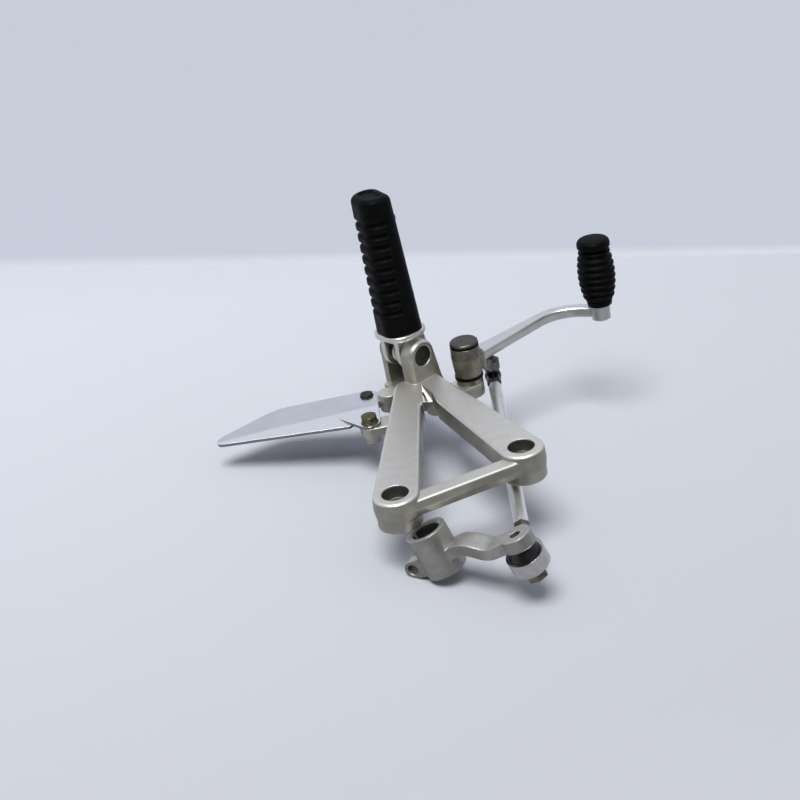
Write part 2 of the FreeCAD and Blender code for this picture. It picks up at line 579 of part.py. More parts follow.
def make_footpeg():
    bar = new_body("footpeg_bar")
    put(bar, **hinge)
    start = ear_back + size.peg_gap
    width = size.ear_gap - 2 * size.peg_gap
    flange_top = size.flange_base + size.flange_thickness
    half = size.peg_width / 2
    middle = -size.peg_centre
    edge = size.tongue_edge
    side = dict(y=start, roll=90)
    # flange with a rounded rim
    rim_outline = peg_outline(new_sketch(bar, z=size.flange_base), size.core_back, size.flange_rim)
    pad(bar, rim_outline, size.flange_thickness)
    soften(bar, size.flange_round, lambda rim: at_height(rim, size.flange_base) or at_height(rim, flange_top))
    # tongue round the pin, and the stop heel behind it
    shoulder = size.tongue_radius - edge
    tongue = belt(new_sketch(bar, **side), [(0, 0, size.tongue_radius), (shoulder, size.flange_base, edge),
                                            (-shoulder, size.flange_base, edge)])
    pad(bar, tongue, width).Reversed = True
    heel_base = size.ear_floor - pin_z + size.peg_gap + edge
    inner = size.heel_reach - size.heel_width + edge
    heel = belt(new_sketch(bar, **side), [(size.heel_reach - edge, heel_base, edge),
                                          (size.tongue_radius, size.flange_base, edge),
                                          (shoulder - size.heel_width, size.flange_base, edge),
                                          (inner, heel_base, edge)])
    pad(bar, heel, width).Reversed = True
    # room for the spring, open towards the tread
    clear = size.spring_clear
    room = belt(new_sketch(bar, y=spring_middle, roll=90),
                [(-2 * clear, -3 * clear, edge), (clear - edge, -3 * clear, edge), (0, 0, clear),
                 (-2 * clear, clear - edge, edge)])
    pocket(bar, room, size.spring_turns * size.spring_pitch + 2 * size.wire_radius + 4 * size.peg_gap)
    # tapered core
    core_top = flange_top + size.peg_length - size.rubber_cap
    core = new_sketch(bar, y=middle, roll=90)
    polygon(core, [(-size.core_face, size.flange_base), (size.core_back, size.flange_base),
                   (size.core_back, flange_top), (size.core_tip, core_top), (-size.core_face, core_top)])
    pad(bar, core, size.core_width, True)
    pocket(bar, circle(new_sketch(bar, roll=90), 0, 0, pin_hole), 8 * size.ear_gap)

    # rubber round three sides and the tip of the core
    rubber = new_body("footpeg_rubber")
    put(rubber, **hinge)
    foot = flange_top + size.peg_gap
    top = foot + size.peg_length
    corner = size.tread_corner
    front = corner - size.tread_face
    tread = rubber.newObject("PartDesign::AdditiveLoft", "tread")
    tread.Profile = peg_outline(new_sketch(rubber, z=top), size.core_tip, 0)
    tread.Sections = [peg_outline(new_sketch(rubber, z=foot), size.core_back, 0)]
    far = 2 * size.tread_face
    bevel(rubber, size.rubber_edge, lambda rim: at_height(rim, top))
    hollow = size.core_width / 2 + size.peg_gap
    inside = -size.core_face - size.peg_gap
    room = polygon(new_sketch(rubber, z=foot), [(inside, middle - hollow), (far, middle - hollow),
                                                (far, middle + hollow), (inside, middle + hollow)])
    pocket(rubber, room, 2 * (core_top - foot + size.peg_gap))
    # cross grooves that turn round both edges of the tread
    span = (size.groove_count - 1) * size.groove_pitch
    wide = 2 * half
    lip = size.groove_depth - half
    bend = size.groove_depth - corner
    stop = -size.groove_end - edge
    notch = new_sketch(rubber, y=middle, z=foot + (size.peg_length - span) / 2)
    belt(notch, [(-far, -wide, edge), (stop, -wide, edge), (stop, lip - edge, edge),
                 (front, corner - half, bend), (front, half - corner, bend),
                 (stop, edge - lip, edge), (stop, wide, edge), (-far, wide, edge)])
    cut = pocket(rubber, notch, size.groove_width)
    row = rubber.newObject("PartDesign::LinearPattern", "grooves")
    row.Originals = [cut]
    row.Direction = (notch, ["N_Axis"])
    row.Mode = 1
    bind(row, "Offset", size.groove_pitch)
    bind(row, "Occurrences", size.groove_count)
    rubber.Tip = row
    # screws from behind hold the rubber on the core
    centre = foot + size.peg_length / 2
    slope = (size.core_back - size.core_tip) / (core_top - flange_top)
    for index, z in enumerate((centre - size.screw_pitch / 2, centre + size.screw_pitch / 2), start=1):
        seat = size.core_back - slope * (z - flange_top + size.screw_head_radius)
        end = seat - size.screw_length
        reach = size.screw_radius + size.fit_clearance
        where = dict(y=middle, z=z, yaw=90, roll=90)
        pocket(bar, circle(new_sketch(bar, **where), 0, 0, reach), 4 * size.core_face)
        recess = circle(new_sketch(bar, x=seat, **where), 0, 0, size.screw_head_radius + size.fit_clearance)
        extrude(bar, "Pocket", recess, size.core_back).Reversed = True
        blind = circle(new_sketch(rubber, x=inside, **where), 0, 0, reach)
        pocket(rubber, blind, 2 * (inside - end + size.peg_gap))
        screw = new_body(f"footpeg_screw_{index}")
        turned(screw, [(0, end), (size.screw_radius, end), (size.screw_radius, seat),
                       (size.screw_head_radius, seat), (size.screw_head_radius, seat + size.screw_head),
                       (0, seat + size.screw_head)])
        put(screw, x=size.pin_x - middle * sine(size.pin_angle),
            y=size.pin_y + middle * cosine(size.pin_angle), z=pin_z + z, yaw=size.pin_angle, pitch=90)


def make_gear_lever():
    lever = new_body("gear_lever")
    put(lever, **pivot)
    half = size.lever_width / 2
    level = boss_base + size.lever_level
    arm_base = level - size.lever_thickness / 2
    arm = belt(new_sketch(lever, z=arm_base),
               [(0, 0, size.lever_root), (size.bend_x, size.bend_y, half - size.bend_radius),
                (size.toe_x, size.toe_y, half), (size.bend_x, size.bend_y, half + size.bend_radius)])
    pad(lever, arm, size.lever_thickness)
    rims = [arm_base, arm_base + size.lever_thickness]
    soften(lever, size.lever_edge, lambda edge: any(at_height(edge, rim) for rim in rims))
    # pivot boss with its parting line, and the toe boss with its spigot
    bore = size.shoulder_radius + size.bush_wall
    turned(lever, [(bore, boss_base), (size.lever_boss_radius - size.lever_boss_taper, boss_base),
                   (size.lever_boss_radius, boss_base + size.lever_parting),
                   (size.lever_boss_radius - size.foot_step / 2, boss_end), (bore, boss_end)])
    toe_base = level - size.toe_boss / 2
    toe = circle(new_sketch(lever, z=toe_base), size.toe_x, size.toe_y, size.toe_boss_radius)
    pad(lever, toe, size.toe_boss)
    spigot = circle(new_sketch(lever, z=toe_base + size.toe_boss), size.toe_x, size.toe_y, size.spigot_radius)
    pad(lever, spigot, spigot_length)
    # short arm down to the ball stud
    edge = size.tongue_edge
    eye_end = eye_base + size.link_eye
    start = size.lever_boss_radius - edge
    crank = belt(new_sketch(lever, yaw=size.link_angle, roll=90),
                 [(start, boss_base + size.link_arm_root / 3 + edge, edge),
                  (size.link_arm - size.link_eye_radius + edge, eye_base + edge, edge),
                  (size.link_arm, eye_base + edge, edge), (size.link_arm, eye_end - edge, edge),
                  (start, boss_base + size.link_arm_root + edge, edge)])
    pad(lever, crank, size.link_arm_width, True)
    eye_x = size.link_arm * cosine(size.link_angle)
    eye_y = size.link_arm * sine(size.link_angle)
    pad(lever, circle(new_sketch(lever, z=eye_base), eye_x, eye_y, size.link_eye_radius), size.link_eye)
    pocket(lever, circle(new_sketch(lever, z=eye_base), eye_x, eye_y, size.stud_radius + size.fit_clearance),
           4 * size.link_eye)
    spot = circle(new_sketch(lever, z=eye_end), eye_x, eye_y, size.stud_head_radius + size.peg_gap)
    extrude(lever, "Pocket", spot, size.link_arm_root).Reversed = True
    pocket(lever, circle(new_sketch(lever), 0, 0, bore), 8 * size.lever_boss)

    bush = new_body("pivot_bush")
    inside = size.shoulder_radius + size.fit_clearance
    turned(bush, [(inside, boss_base), (bore, boss_base), (bore, boss_end), (inside, boss_end)])
    put(bush, **pivot)
    seals = {"lower": seal_base, "upper": boss_end}
    for end, z in seals.items():
        seal = new_body(f"{end}_dust_seal")
        turned(seal, [(inside, z), (size.seal_radius, z), (size.seal_radius, z + size.seal_height),
                      (inside, z + size.seal_height)])
        put(seal, **pivot)
    make_toe_rubber(toe_base + size.toe_boss)


def make_toe_rubber(base):
    # ribbed barrel: the rib tops follow a parabola between the end radii
    rubber = new_body("toe_rubber")
    inside = size.spigot_radius + size.fit_clearance
    low = base + size.peg_gap
    top = low + size.toe_length
    ribbed = size.toe_length - size.toe_band - size.toe_cap
    count = int(size.toe_ribs.value)
    pitch = ribbed / (2 * count + 1)
    swell = size.toe_radius - size.toe_end_radius
    points = [(inside, low), (size.toe_end_radius - size.toe_rib_depth, low)]
    for step in range(2 * count + 1):
        share = (2 * step + 1) / (2 * count + 1) - 1
        crest = size.toe_end_radius + swell * (1 - share * share)
        radius = crest - size.toe_rib_depth if step % 2 == 0 else crest
        points.append((radius, low + size.toe_cap + pitch * step))
        points.append((radius, low + size.toe_cap + pitch * (step + 1)))
    points.append((size.toe_end_radius + size.toe_rib_depth, top - size.toe_band))
    points.append((size.toe_end_radius + size.toe_rib_depth, top - size.toe_cap))
    points.append((size.toe_end_radius - size.toe_rib_depth, top))
    points.append((0, top))
    points.append((0, low + spigot_length))
    points.append((inside, low + spigot_length))
    turned(rubber, points)
    put(rubber, x=size.pivot_x + size.toe_x, y=size.pivot_y + size.toe_y, z=size.lug_top)


def make_pivot_set():
    bolt = new_body("lever_pivot_bolt")
    thread = size.pivot_thread / 2
    head = boss_end + size.seal_height
    crown = head + size.pivot_head
    low = -size.lug_thickness
    turned(bolt, [(0, low), (thread, low), (thread, 0), (size.shoulder_radius, 0),
                  (size.shoulder_radius, head), (size.pivot_head_radius, head),
                  (size.pivot_head_radius, crown - size.pivot_head_edge),
                  (size.pivot_head_radius - size.pivot_head_edge, crown), (0, crown)])
    put(bolt, **pivot)
    collar = new_body("pivot_collar")
    inside = size.shoulder_radius + size.fit_clearance
    turned(collar, [(inside, 0), (size.collar_radius, 0), (size.collar_radius, seal_base),
                    (inside, seal_base)])
    put(collar, **pivot)


def make_lever_joint():
    far = dict(x=far_x, y=far_y, z=far_z)
    stud = new_body("lever_ball_stud")
    top = size.ball_drop + size.link_eye
    turned(stud, [(0, 0), (size.stud_radius, 0), (size.stud_radius, top), (size.stud_head_radius, top),
                  (size.stud_radius, top + size.stud_head), (0, top + size.stud_head)])
    ball = stud.newObject("PartDesign::AdditiveSphere", "stud_ball")
    bind(ball, "Radius", size.ball_radius)
    put(stud, **far)

    socket = new_body("lever_rod_end")
    shell = socket.newObject("PartDesign::AdditiveSphere", "socket_shell")
    bind(shell, "Radius", size.socket_radius)
    axis = dict(yaw=rod_yaw, pitch=rod_pitch - 90)
    pad(socket, circle(new_sketch(socket, **axis), 0, 0, size.shank_radius), size.far_shank)
    face = circle(new_sketch(socket, z=size.socket_face), 0, 0, 2 * size.socket_radius)
    extrude(socket, "Pocket", face, 2 * size.socket_radius).Reversed = True
    doc.recompute()
    hollow = socket.newObject("PartDesign::SubtractiveSphere", "socket_hollow")
    bind(hollow, "Radius", size.ball_radius + size.fit_clearance)
    share = -size.far_shank / rod_length
    end = new_sketch(socket, x=share * run_x, y=share * run_y, z=share * run_z, **axis)
    circle(end, 0, 0, size.thread_radius + size.fit_clearance)
    pocket(socket, end, 2 * (size.nut_overlap + size.peg_gap))
    put(socket, **far)

    boot = new_body("lever_boot")
    waist = size.stud_radius + 3 * size.boot_gap
    top = size.ball_drop - size.boot_gap
    turned(boot, [(waist, size.socket_face), (size.socket_radius - 4 * size.boot_gap, size.socket_face),
                  (waist + size.boot_wall / 2, top), (size.stud_radius + size.boot_gap, top)])
    put(boot, **far)


def make_link_rod():
    axis = dict(x=size.near_x, y=size.near_y, z=size.near_z, yaw=rod_yaw, pitch=rod_pitch + 90)
    near_nut = size.near_shank
    far_nut = rod_length - size.far_shank - size.nut_height
    near_end = near_nut - size.nut_overlap
    far_end = rod_length - size.far_shank + size.nut_overlap
    body = new_body("link_rod")
    near_step = near_nut + size.nut_height
    turned(body, [(0, near_end), (size.thread_radius, near_end), (size.thread_radius, near_step),
                  (size.rod_radius, near_step), (size.rod_radius, far_nut),
                  (size.thread_radius, far_nut), (size.thread_radius, far_end), (0, far_end)])
    put(body, **axis)
    for end, z in (("near", near_nut), ("far", far_nut)):
        nut = new_body(f"{end}_lock_nut")
        hexagon(nut, size.nut_across, size.nut_height, z)
        pocket(nut, circle(new_sketch(nut, z=z), 0, 0, size.thread_radius + size.fit_clearance),
               4 * size.nut_height)
        put(nut, **axis)


def make_shifter_joint():
    # rod end with its spherical bearing
    ring = new_body("shifter_rod_end")
    half = size.ring_width / 2
    turned(ring, [(0, -half), (size.ring_radius, -half), (size.ring_radius, half), (0, half)])
    pad(ring, circle(new_sketch(ring, yaw=90, roll=90), 0, 0, size.shank_radius), size.near_shank)
    doc.recompute()
    hollow = ring.newObject("PartDesign::SubtractiveSphere", "ring_hollow")
    bind(hollow, "Radius", size.bearing_radius + size.fit_clearance)
    end = new_sketch(ring, x=size.near_shank, yaw=90, roll=90)
    circle(end, 0, 0, size.thread_radius + size.fit_clearance)
    pocket(ring, end, 2 * (size.nut_overlap + size.peg_gap))
    put(ring, **rod)

    ball = new_body("shifter_ball")
    sphere = ball.newObject("PartDesign::AdditiveSphere", "bearing_ball")
    bind(sphere, "Radius", size.bearing_radius)
    flat = size.bearing_width / 2
    seat = size.eye_level - size.eye_thickness / 2
    for side in (1, -1):
        slab = circle(new_sketch(ball, z=side * flat), 0, 0, 2 * size.bearing_radius)
        cut = extrude(ball, "Pocket", slab, size.bearing_radius)
        cut.Reversed = side > 0
    pad(ball, circle(new_sketch(ball), 0, 0, neck_radius), seat)
    pocket(ball, circle(new_sketch(ball), 0, 0, size.link_bolt_radius + size.fit_clearance), 8 * flat)
    put(ball, **shift)

    bolt = new_body("shifter_bolt")
    washer_base = -flat - size.link_washer
    head_base = washer_base - size.link_bolt_head
    top = size.eye_level + size.eye_thickness / 2 - size.dimple_depth
    turned(bolt, [(0, head_base), (size.link_bolt_radius, head_base), (size.link_bolt_radius, top), (0, top)])
    hexagon(bolt, size.link_bolt_across, size.link_bolt_head, head_base)
    put(bolt, **shift)
    washer = new_body("shifter_washer")
    inside = size.link_bolt_radius + size.fit_clearance
    turned(washer, [(inside, washer_base), (size.link_washer_radius, washer_base),
                    (size.link_washer_radius, -flat), (inside, -flat)])
    put(washer, **shift)

    # boot between the ring's face and the eye, which lean away from each other
    cone = put(doc.addObject("Part::Cone", "boot_cone"), **shift)
    bind(cone, "Radius1", size.ring_radius)
    bind(cone, "Radius2", size.eye_radius - size.boot_lip)
    bind(cone, "Height", seat - 2 * size.boot_gap)
    mouth = put(doc.addObject("Part::Cylinder", "boot_mouth"), **shift)
    bind(mouth, "Radius", neck_radius + size.boot_gap)
    bind(mouth, "Height", 2 * seat)
    core = put(doc.addObject("Part::Sphere", "boot_core"), **shift)
    bind(core, "Radius", size.bearing_radius + size.boot_gap)
    below = put(doc.addObject("Part::Cylinder", "boot_floor"), **rod)
    bind(below, "Radius", 3 * size.ring_radius)
    bind(below, "Height", half)
    under = put(doc.addObject("Part::Cylinder", "boot_under"), **dict(rod, roll=size.housing_roll + 180))
    bind(under, "Radius", 3 * size.ring_radius)
    bind(under, "Height", 3 * size.ring_radius)
    hollow = doc.addObject("Part::MultiFuse", "boot_hollow")
    hollow.Shapes = [mouth, core, below, under]
    boot = new_piece("Part::Cut", "shifter_boot")
    boot.Base = cone
    boot.Tool = hollow


def make_shift_arm():
    body = new_body("shift_arm")
    put(body, **shift)
    half = size.strap_thickness / 2
    clamp_top = size.clamp_base + size.clamp_length
    # strap with a dip beside the eye and a hump before the clamp
    dip_z = size.eye_level - size.strap_dip + size.dip_radius
    hump_z = size.eye_level + size.hump_rise - size.hump_radius
    strap = belt(new_sketch(body, roll=90),
                 [(size.eye_radius / 2, size.eye_level, half), (size.dip_x, dip_z, size.dip_radius + half),
                  (size.hump_x, hump_z, half - size.hump_radius),
                  (size.clamp_x, size.pinch_level, half),
                  (size.hump_x, hump_z, size.hump_radius + half),
                  (size.dip_x, dip_z, half - size.dip_radius)])
    pad(body, strap, size.strap_width, True)
    eye = circle(new_sketch(body, z=size.eye_level), 0, 0, size.eye_radius)
    pad(body, eye, size.eye_thickness, True)
    clamp = circle(new_sketch(body, z=size.clamp_base), size.clamp_x, 0, size.clamp_radius)
    pad(body, clamp, size.clamp_length)
    pinch_x = size.clamp_x + size.pinch_axis
    ears = belt(new_sketch(body, roll=90), [(size.clamp_x, size.pinch_level, size.pinch_height / 2),
                                            (pinch_x, size.pinch_level, size.pinch_corner)])
    pad(body, ears, size.pinch_width, True)
    # holes
    bore = circle(new_sketch(body, z=size.clamp_base), size.clamp_x, 0, size.clamp_bore)
    pocket(body, bore, 4 * size.clamp_length)
    funnel = size.clamp_bore + size.clamp_chamfer
    turned(body, [(0, clamp_top - size.clamp_chamfer), (size.clamp_bore, clamp_top - size.clamp_chamfer),
                  (funnel, clamp_top), (0, clamp_top)], "Groove", x=size.clamp_x)
    slit = size.clamp_slit / 2
    outside = size.clamp_x + 2 * size.pinch_axis
    slot = polygon(new_sketch(body, z=size.clamp_base),
                   [(size.clamp_x, -slit), (outside, -slit), (outside, slit), (size.clamp_x, slit)])
    pocket(body, slot, 4 * size.clamp_length)
    cross = circle(new_sketch(body, roll=90), pinch_x, size.pinch_level, size.pinch_hole)
    pocket(body, cross, 4 * size.pinch_width)
    pocket(body, circle(new_sketch(body, z=size.eye_level), 0, 0, size.link_bolt_radius + size.fit_clearance),
           4 * size.eye_thickness)


spring_middle = ear_back + size.ear_gap / 2
neck_radius = size.link_bolt_radius + size.fit_clearance + size.link_washer

make_bracket()
make_heel_guard()
make_guard_bolts()
make_pin_set()
make_spring()
make_footpeg()
make_gear_lever()
make_pivot_set()
make_lever_joint()
make_link_rod()
make_shifter_joint()
make_shift_arm()
doc.recompute()

for item in doc.Objects:
    if "Invalid" in item.State or "Error" in item.State:
        raise RuntimeError(f"{item.Label} failed: {item.State}")
for piece in pieces:
    if piece.Shape.isNull() or not piece.Shape.isValid() or not piece.Shape.Solids:
        raise RuntimeError(f"{piece.Label} has no valid solid")

os.makedirs("parts", exist_ok=True)
for piece in pieces:
    piece.Shape.exportStep(os.path.join("parts", piece.Label + ".step"))
    box = piece.Shape.BoundBox
    print(f"{piece.Label}: {len(piece.Shape.Solids)} solid, {piece.Shape.Volume:.0f} mm3,"
          f" {box.XMin:.1f} {box.YMin:.1f} {box.ZMin:.1f} to {box.XMax:.1f} {box.YMax:.1f} {box.ZMax:.1f}")
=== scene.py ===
import bmesh, bpy, math
from mathutils import Euler, Matrix, Vector


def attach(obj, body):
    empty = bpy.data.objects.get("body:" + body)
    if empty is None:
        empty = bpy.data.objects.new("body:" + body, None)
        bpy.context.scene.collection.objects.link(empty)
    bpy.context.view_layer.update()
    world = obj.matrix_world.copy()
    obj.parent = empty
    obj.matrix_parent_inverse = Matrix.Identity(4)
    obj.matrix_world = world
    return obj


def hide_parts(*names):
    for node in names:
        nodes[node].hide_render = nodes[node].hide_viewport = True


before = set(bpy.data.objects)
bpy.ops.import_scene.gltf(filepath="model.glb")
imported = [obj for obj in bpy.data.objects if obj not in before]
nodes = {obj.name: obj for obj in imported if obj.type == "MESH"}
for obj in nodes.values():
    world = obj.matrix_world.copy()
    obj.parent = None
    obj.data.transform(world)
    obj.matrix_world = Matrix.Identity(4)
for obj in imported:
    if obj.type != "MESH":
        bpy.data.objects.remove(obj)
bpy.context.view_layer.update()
mm = 0.001
print("stage: packed model loaded,", len(nodes), "nodes")


# a socket that can be used in plain sums
class Signal:
    def __init__(self, wiring, node, output):
        self.wiring = wiring
        self.node = node
        self.socket = node.outputs[output]

    def out(self, output):
        return Signal(self.wiring, self.node, output)

    def combine(self, operation, first, second):
        return self.wiring.add("ShaderNodeMath", {"operation": operation}, {0: first, 1: second})

    def __add__(self, other):
        return self.combine("ADD", self, other)

    def __radd__(self, other):
        return self.combine("ADD", other, self)

    def __sub__(self, other):
        return self.combine("SUBTRACT", self, other)

    def __rsub__(self, other):
        return self.combine("SUBTRACT", other, self)

    def __mul__(self, other):
        return self.combine("MULTIPLY", self, other)

    def __rmul__(self, other):
        return self.combine("MULTIPLY", other, self)

    def __truediv__(self, other):
        return self.combine("DIVIDE", self, other)

    def __rtruediv__(self, other):
        return self.combine("DIVIDE", other, self)


# any node tree, filled by one method
class Wiring:
    def __init__(self, tree):
        self.tree = tree
        tree.nodes.clear()

    def add(self, kind, settings, sockets, output=0):
        node = self.tree.nodes.new(kind)
        for name, value in settings.items():
            setattr(node, name, value)
        for name, value in sockets.items():
            if isinstance(value, Signal):
                value = [value]
            if isinstance(value, list):  # several signals into one socket
                for signal in value:
                    self.tree.links.new(signal.socket, node.inputs[name])
            else:
                node.inputs[name].default_value = value
        return Signal(self, node, output) if node.outputs else None

    def spread(self, signal, low, high, start=0.0, end=1.0, smooth="LINEAR"):
        return self.add("ShaderNodeMapRange", {"clamp": True, "interpolation_type": smooth},
                        {"Value": signal, "From Min": low, "From Max": high, "To Min": start, "To Max": end})

    def blend(self, share, first, second):
        return self.add("ShaderNodeMix", {"data_type": "RGBA"}, {0: share, 6: first, 7: second}, 2)

    def vector(self, operation, first, second, output="Vector"):
        return self.add("ShaderNodeVectorMath", {"operation": operation}, {0: first, 1: second}, output)


# one surface finish
class Finish(Wiring):
    def __init__(self, name):
        self.material = bpy.data.materials.new(name)
        self.material.use_nodes = True
        Wiring.__init__(self, self.material.node_tree)
        self.places = self.add("ShaderNodeTexCoord", {}, {}, "Object")

    def place(self, axis):
        return self.add("ShaderNodeSeparateXYZ", {}, {0: self.places}, axis)

    def noise(self, scale, detail=2.0, roughness=0.5, stretch=None, turn=(0, 0, 0)):
        places = self.places
        if stretch:
            places = self.add("ShaderNodeMapping", {}, {"Vector": places, "Rotation": turn, "Scale": stretch})
        return self.add("ShaderNodeTexNoise", {}, {"Vector": places, "Scale": scale, "Detail": detail,
                                                   "Roughness": roughness})

    def patchy(self, scale, low, high, least, most):
        # uneven cover of dirt or stain
        return self.spread(self.noise(scale, 3.0, 0.6), low, high, least, most)

    def rounded(self, radius):
        return self.add("ShaderNodeBevel", {"samples": 6}, {"Radius": radius})

    def edges(self, radius):
        # 1 along edges sharper than the radius, 0 on open faces
        plain = self.add("ShaderNodeNewGeometry", {}, {}, "True Normal")
        return self.spread(1 - self.vector("DOT_PRODUCT", self.rounded(radius), plain, "Value"), 0.02, 0.35)

    def upward(self):
        # 1 on faces that look up, 0 on upright ones
        facing = self.add("ShaderNodeTexCoord", {}, {}, "Normal")
        return self.add("ShaderNodeSeparateXYZ", {}, {0: facing}, "Z")

    def column(self, x, y, radius, soft):
        # 1 within a radius of an upright axis
        flat = self.vector("MULTIPLY", self.places, (1.0, 1.0, 0.0))
        away = self.vector("DISTANCE", flat, (x * mm, y * mm, 0.0), "Value")
        return self.spread(away, (radius + soft) * mm, radius * mm)

    def bore(self, centre, axis, radius, soft):
        # 1 within a radius of a slanted axis
        along = self.vector("SUBTRACT", self.places, tuple(c * mm for c in centre))
        away = self.vector("LENGTH", self.vector("CROSS_PRODUCT", along, axis), (0.0, 0.0, 0.0), "Value")
        return self.spread(away, (radius + soft) * mm, radius * mm)

    def bump(self, height, strength, distance, radius):
        return self.add("ShaderNodeBump", {}, {"Strength": strength, "Distance": distance, "Height": height,
                                               "Normal": self.rounded(radius)})

    def finish(self, sockets):
        return self.finishWith(self.add("ShaderNodeBsdfPrincipled", {}, sockets))

    def finishWith(self, shader):
        self.add("ShaderNodeOutputMaterial", {}, {"Surface": shader})
        return self.material


def rgb(red, green, blue):
    return (red, green, blue, 1.0)


materials = {}

# cast alloy: blasted grain, mottled colour, bare edges, and a yellowed lacquer tint with painted shade that darkens
# the upright faces
castAlloy = {"light": rgb(0.85, 0.828, 0.765), "dull": rgb(0.775, 0.752, 0.695), "worn": rgb(0.93, 0.915, 0.87),
             "lacquerAndShade": rgb(0.215, 0.203, 0.16), "lacquerAndShadeShare": 0.88, "stainShare": 0.30, "wornShare": 0.45,
             "grain": 5200, "mottle": 160, "roughness": 0.50, "bump": 0.24, "bumpDepth": 0.12 * mm,
             "edge": 1.2 * mm}


def makeCastAlloy(name, look, marks=None):
    f = Finish(name)
    grain = f.noise(look["grain"], 2.0, 0.6)
    blasted = f.noise(look["grain"] * 0.28, 3.0, 0.55)
    mottle = f.noise(look["mottle"], 4.0, 0.6)
    stain = f.noise(look["mottle"] * 0.3, 3.0, 0.55)
    rim = f.edges(look["edge"])
    upright = f.spread(f.upward(), 0.75, 0.25)
    colour = f.blend(f.spread(mottle, 0.35, 0.68), look["light"], look["dull"])
    colour = f.blend(f.spread(stain, 0.58, 0.75, 0.0, look["stainShare"]), colour, look["worn"])
    # painted shade: upright faces are darkened towards the lacquer colour, which also carries a yellowed tint
    lacqueredAndShaded = upright * f.spread(stain, 0.3, 0.7, 0.65, 1.0) * look["lacquerAndShadeShare"]
    colour = f.blend(lacqueredAndShaded, colour, look["lacquerAndShade"])
    colour = f.blend(rim * look["wornShare"], colour, look["worn"])
    rough = look["roughness"] + 0.16 * (mottle - 0.5) + 0.10 * (grain - 0.5) - 0.10 * rim
    if marks:
        colour, rough = marks(f, colour, rough)
    bump = f.bump(grain * 0.5 + blasted, look["bump"], look["bumpDepth"], look["edge"])
    return f.finish({"Base Color": colour, "Metallic": 1.0, "Roughness": rough, "Normal": bump})


frameHoles = {"halfPitch": 37.5, "radius": 8.6, "soft": 0.4, "top": 17.3, "topSoft": 0.7,
              "paintedShade": rgb(0.17, 0.163, 0.148), "shadedRoughness": 0.12}


def markFrameHoles(f, colour, rough):
    # painted shade darkening the two counterbores below their top
    look = frameHoles
    left, right = [f.column(side * look["halfPitch"], 0.0, look["radius"], look["soft"]) for side in (-1, 1)]
    low = f.spread(f.place("Z"), look["top"] * mm, (look["top"] - look["topSoft"]) * mm)
    share = left.combine("MAXIMUM", left, right) * low * f.patchy(300, 0.2, 0.7, 0.75, 1.0)
    return f.blend(share, colour, look["paintedShade"]), rough + look["shadedRoughness"] * share


materials["cast"] = makeCastAlloy("castAlloy", castAlloy, markFrameHoles)

pegAlloy = dict(castAlloy, light=rgb(0.84, 0.83, 0.80), dull=rgb(0.74, 0.73, 0.70), lacquerAndShadeShare=0.30,
                roughness=0.36)
materials["peg"] = makeCastAlloy("pegAlloy", pegAlloy)

leverAlloy = dict(castAlloy, light=rgb(0.88, 0.875, 0.855), dull=rgb(0.79, 0.785, 0.765), grain=3000,
                  lacquerAndShade=rgb(0.31, 0.304, 0.28), lacquerAndShadeShare=0.80, roughness=0.36)
leverBoss = {"x": 55.5, "y": 106, "radius": 10.6, "soft": 1.5, "parting": 26.6, "partingSoft": 0.3,
             "dark": rgb(0.125, 0.118, 0.092), "tan": rgb(0.21, 0.187, 0.135), "stainRoughness": 0.08,
             "eyeX": 73.5, "eyeY": 112.0, "eyeRadius": 7.5, "eyeTop": 23.0, "eyeSoft": 3.0,
             "eye": rgb(0.085, 0.077, 0.062)}


def markLeverBoss(f, colour, rough):
    # the boss is stained dark above its parting line and tan below
    look = leverBoss
    boss = f.column(look["x"], look["y"], look["radius"], look["soft"])
    height = f.place("Z")
    upper = f.spread(height, (look["parting"] - look["partingSoft"]) * mm,
                     (look["parting"] + look["partingSoft"]) * mm)
    stain = f.blend(upper, look["tan"], look["dark"])
    colour = f.blend(boss * f.patchy(260, 0.2, 0.6, 0.7, 0.95), colour, stain)
    # painted shade round the ball of the inner arm, on the lower part of the eye
    eye = f.column(look["eyeX"], look["eyeY"], look["eyeRadius"], look["eyeSoft"])
    eye = eye * f.spread(height, look["eyeTop"] * mm, (look["eyeTop"] - look["eyeSoft"]) * mm)
    colour = f.blend(eye * f.patchy(340, 0.25, 0.65, 0.6, 0.95), colour, look["eye"])
    return colour, rough + look["stainRoughness"] * boss


materials["lever"] = makeCastAlloy("leverAlloy", leverAlloy, markLeverBoss)

rodAlloy = dict(leverAlloy, light=rgb(0.93, 0.925, 0.91), dull=rgb(0.85, 0.845, 0.83), lacquerAndShadeShare=0.0,
                roughness=0.42)
materials["rod"] = makeCastAlloy("rodAlloy", rodAlloy)

sandCast = dict(castAlloy, light=rgb(0.74, 0.725, 0.685), dull=rgb(0.60, 0.585, 0.55), grain=2600, bump=0.45,
                lacquerAndShade=rgb(0.15, 0.143, 0.12), lacquerAndShadeShare=0.85, roughness=0.48)
clampBore = {"centre": (-25.9, -15.0, -14.3), "axis": (-0.2393, 0.2667, 0.9336), "radius": 7.7, "soft": 0.3,
             "paintedShade": rgb(0.075, 0.07, 0.06), "shadedRoughness": 0.12}


def markClampBore(f, colour, rough):
    look = clampBore
    # painted shade darkening the inside of the clamp bore
    inside = f.bore(look["centre"], look["axis"], look["radius"], look["soft"])
    share = inside * f.patchy(300, 0.2, 0.7, 0.7, 1.0)
    return f.blend(share, colour, look["paintedShade"]), rough + look["shadedRoughness"] * share


materials["sand"] = makeCastAlloy("sandCastAlloy", sandCast, markClampBore)
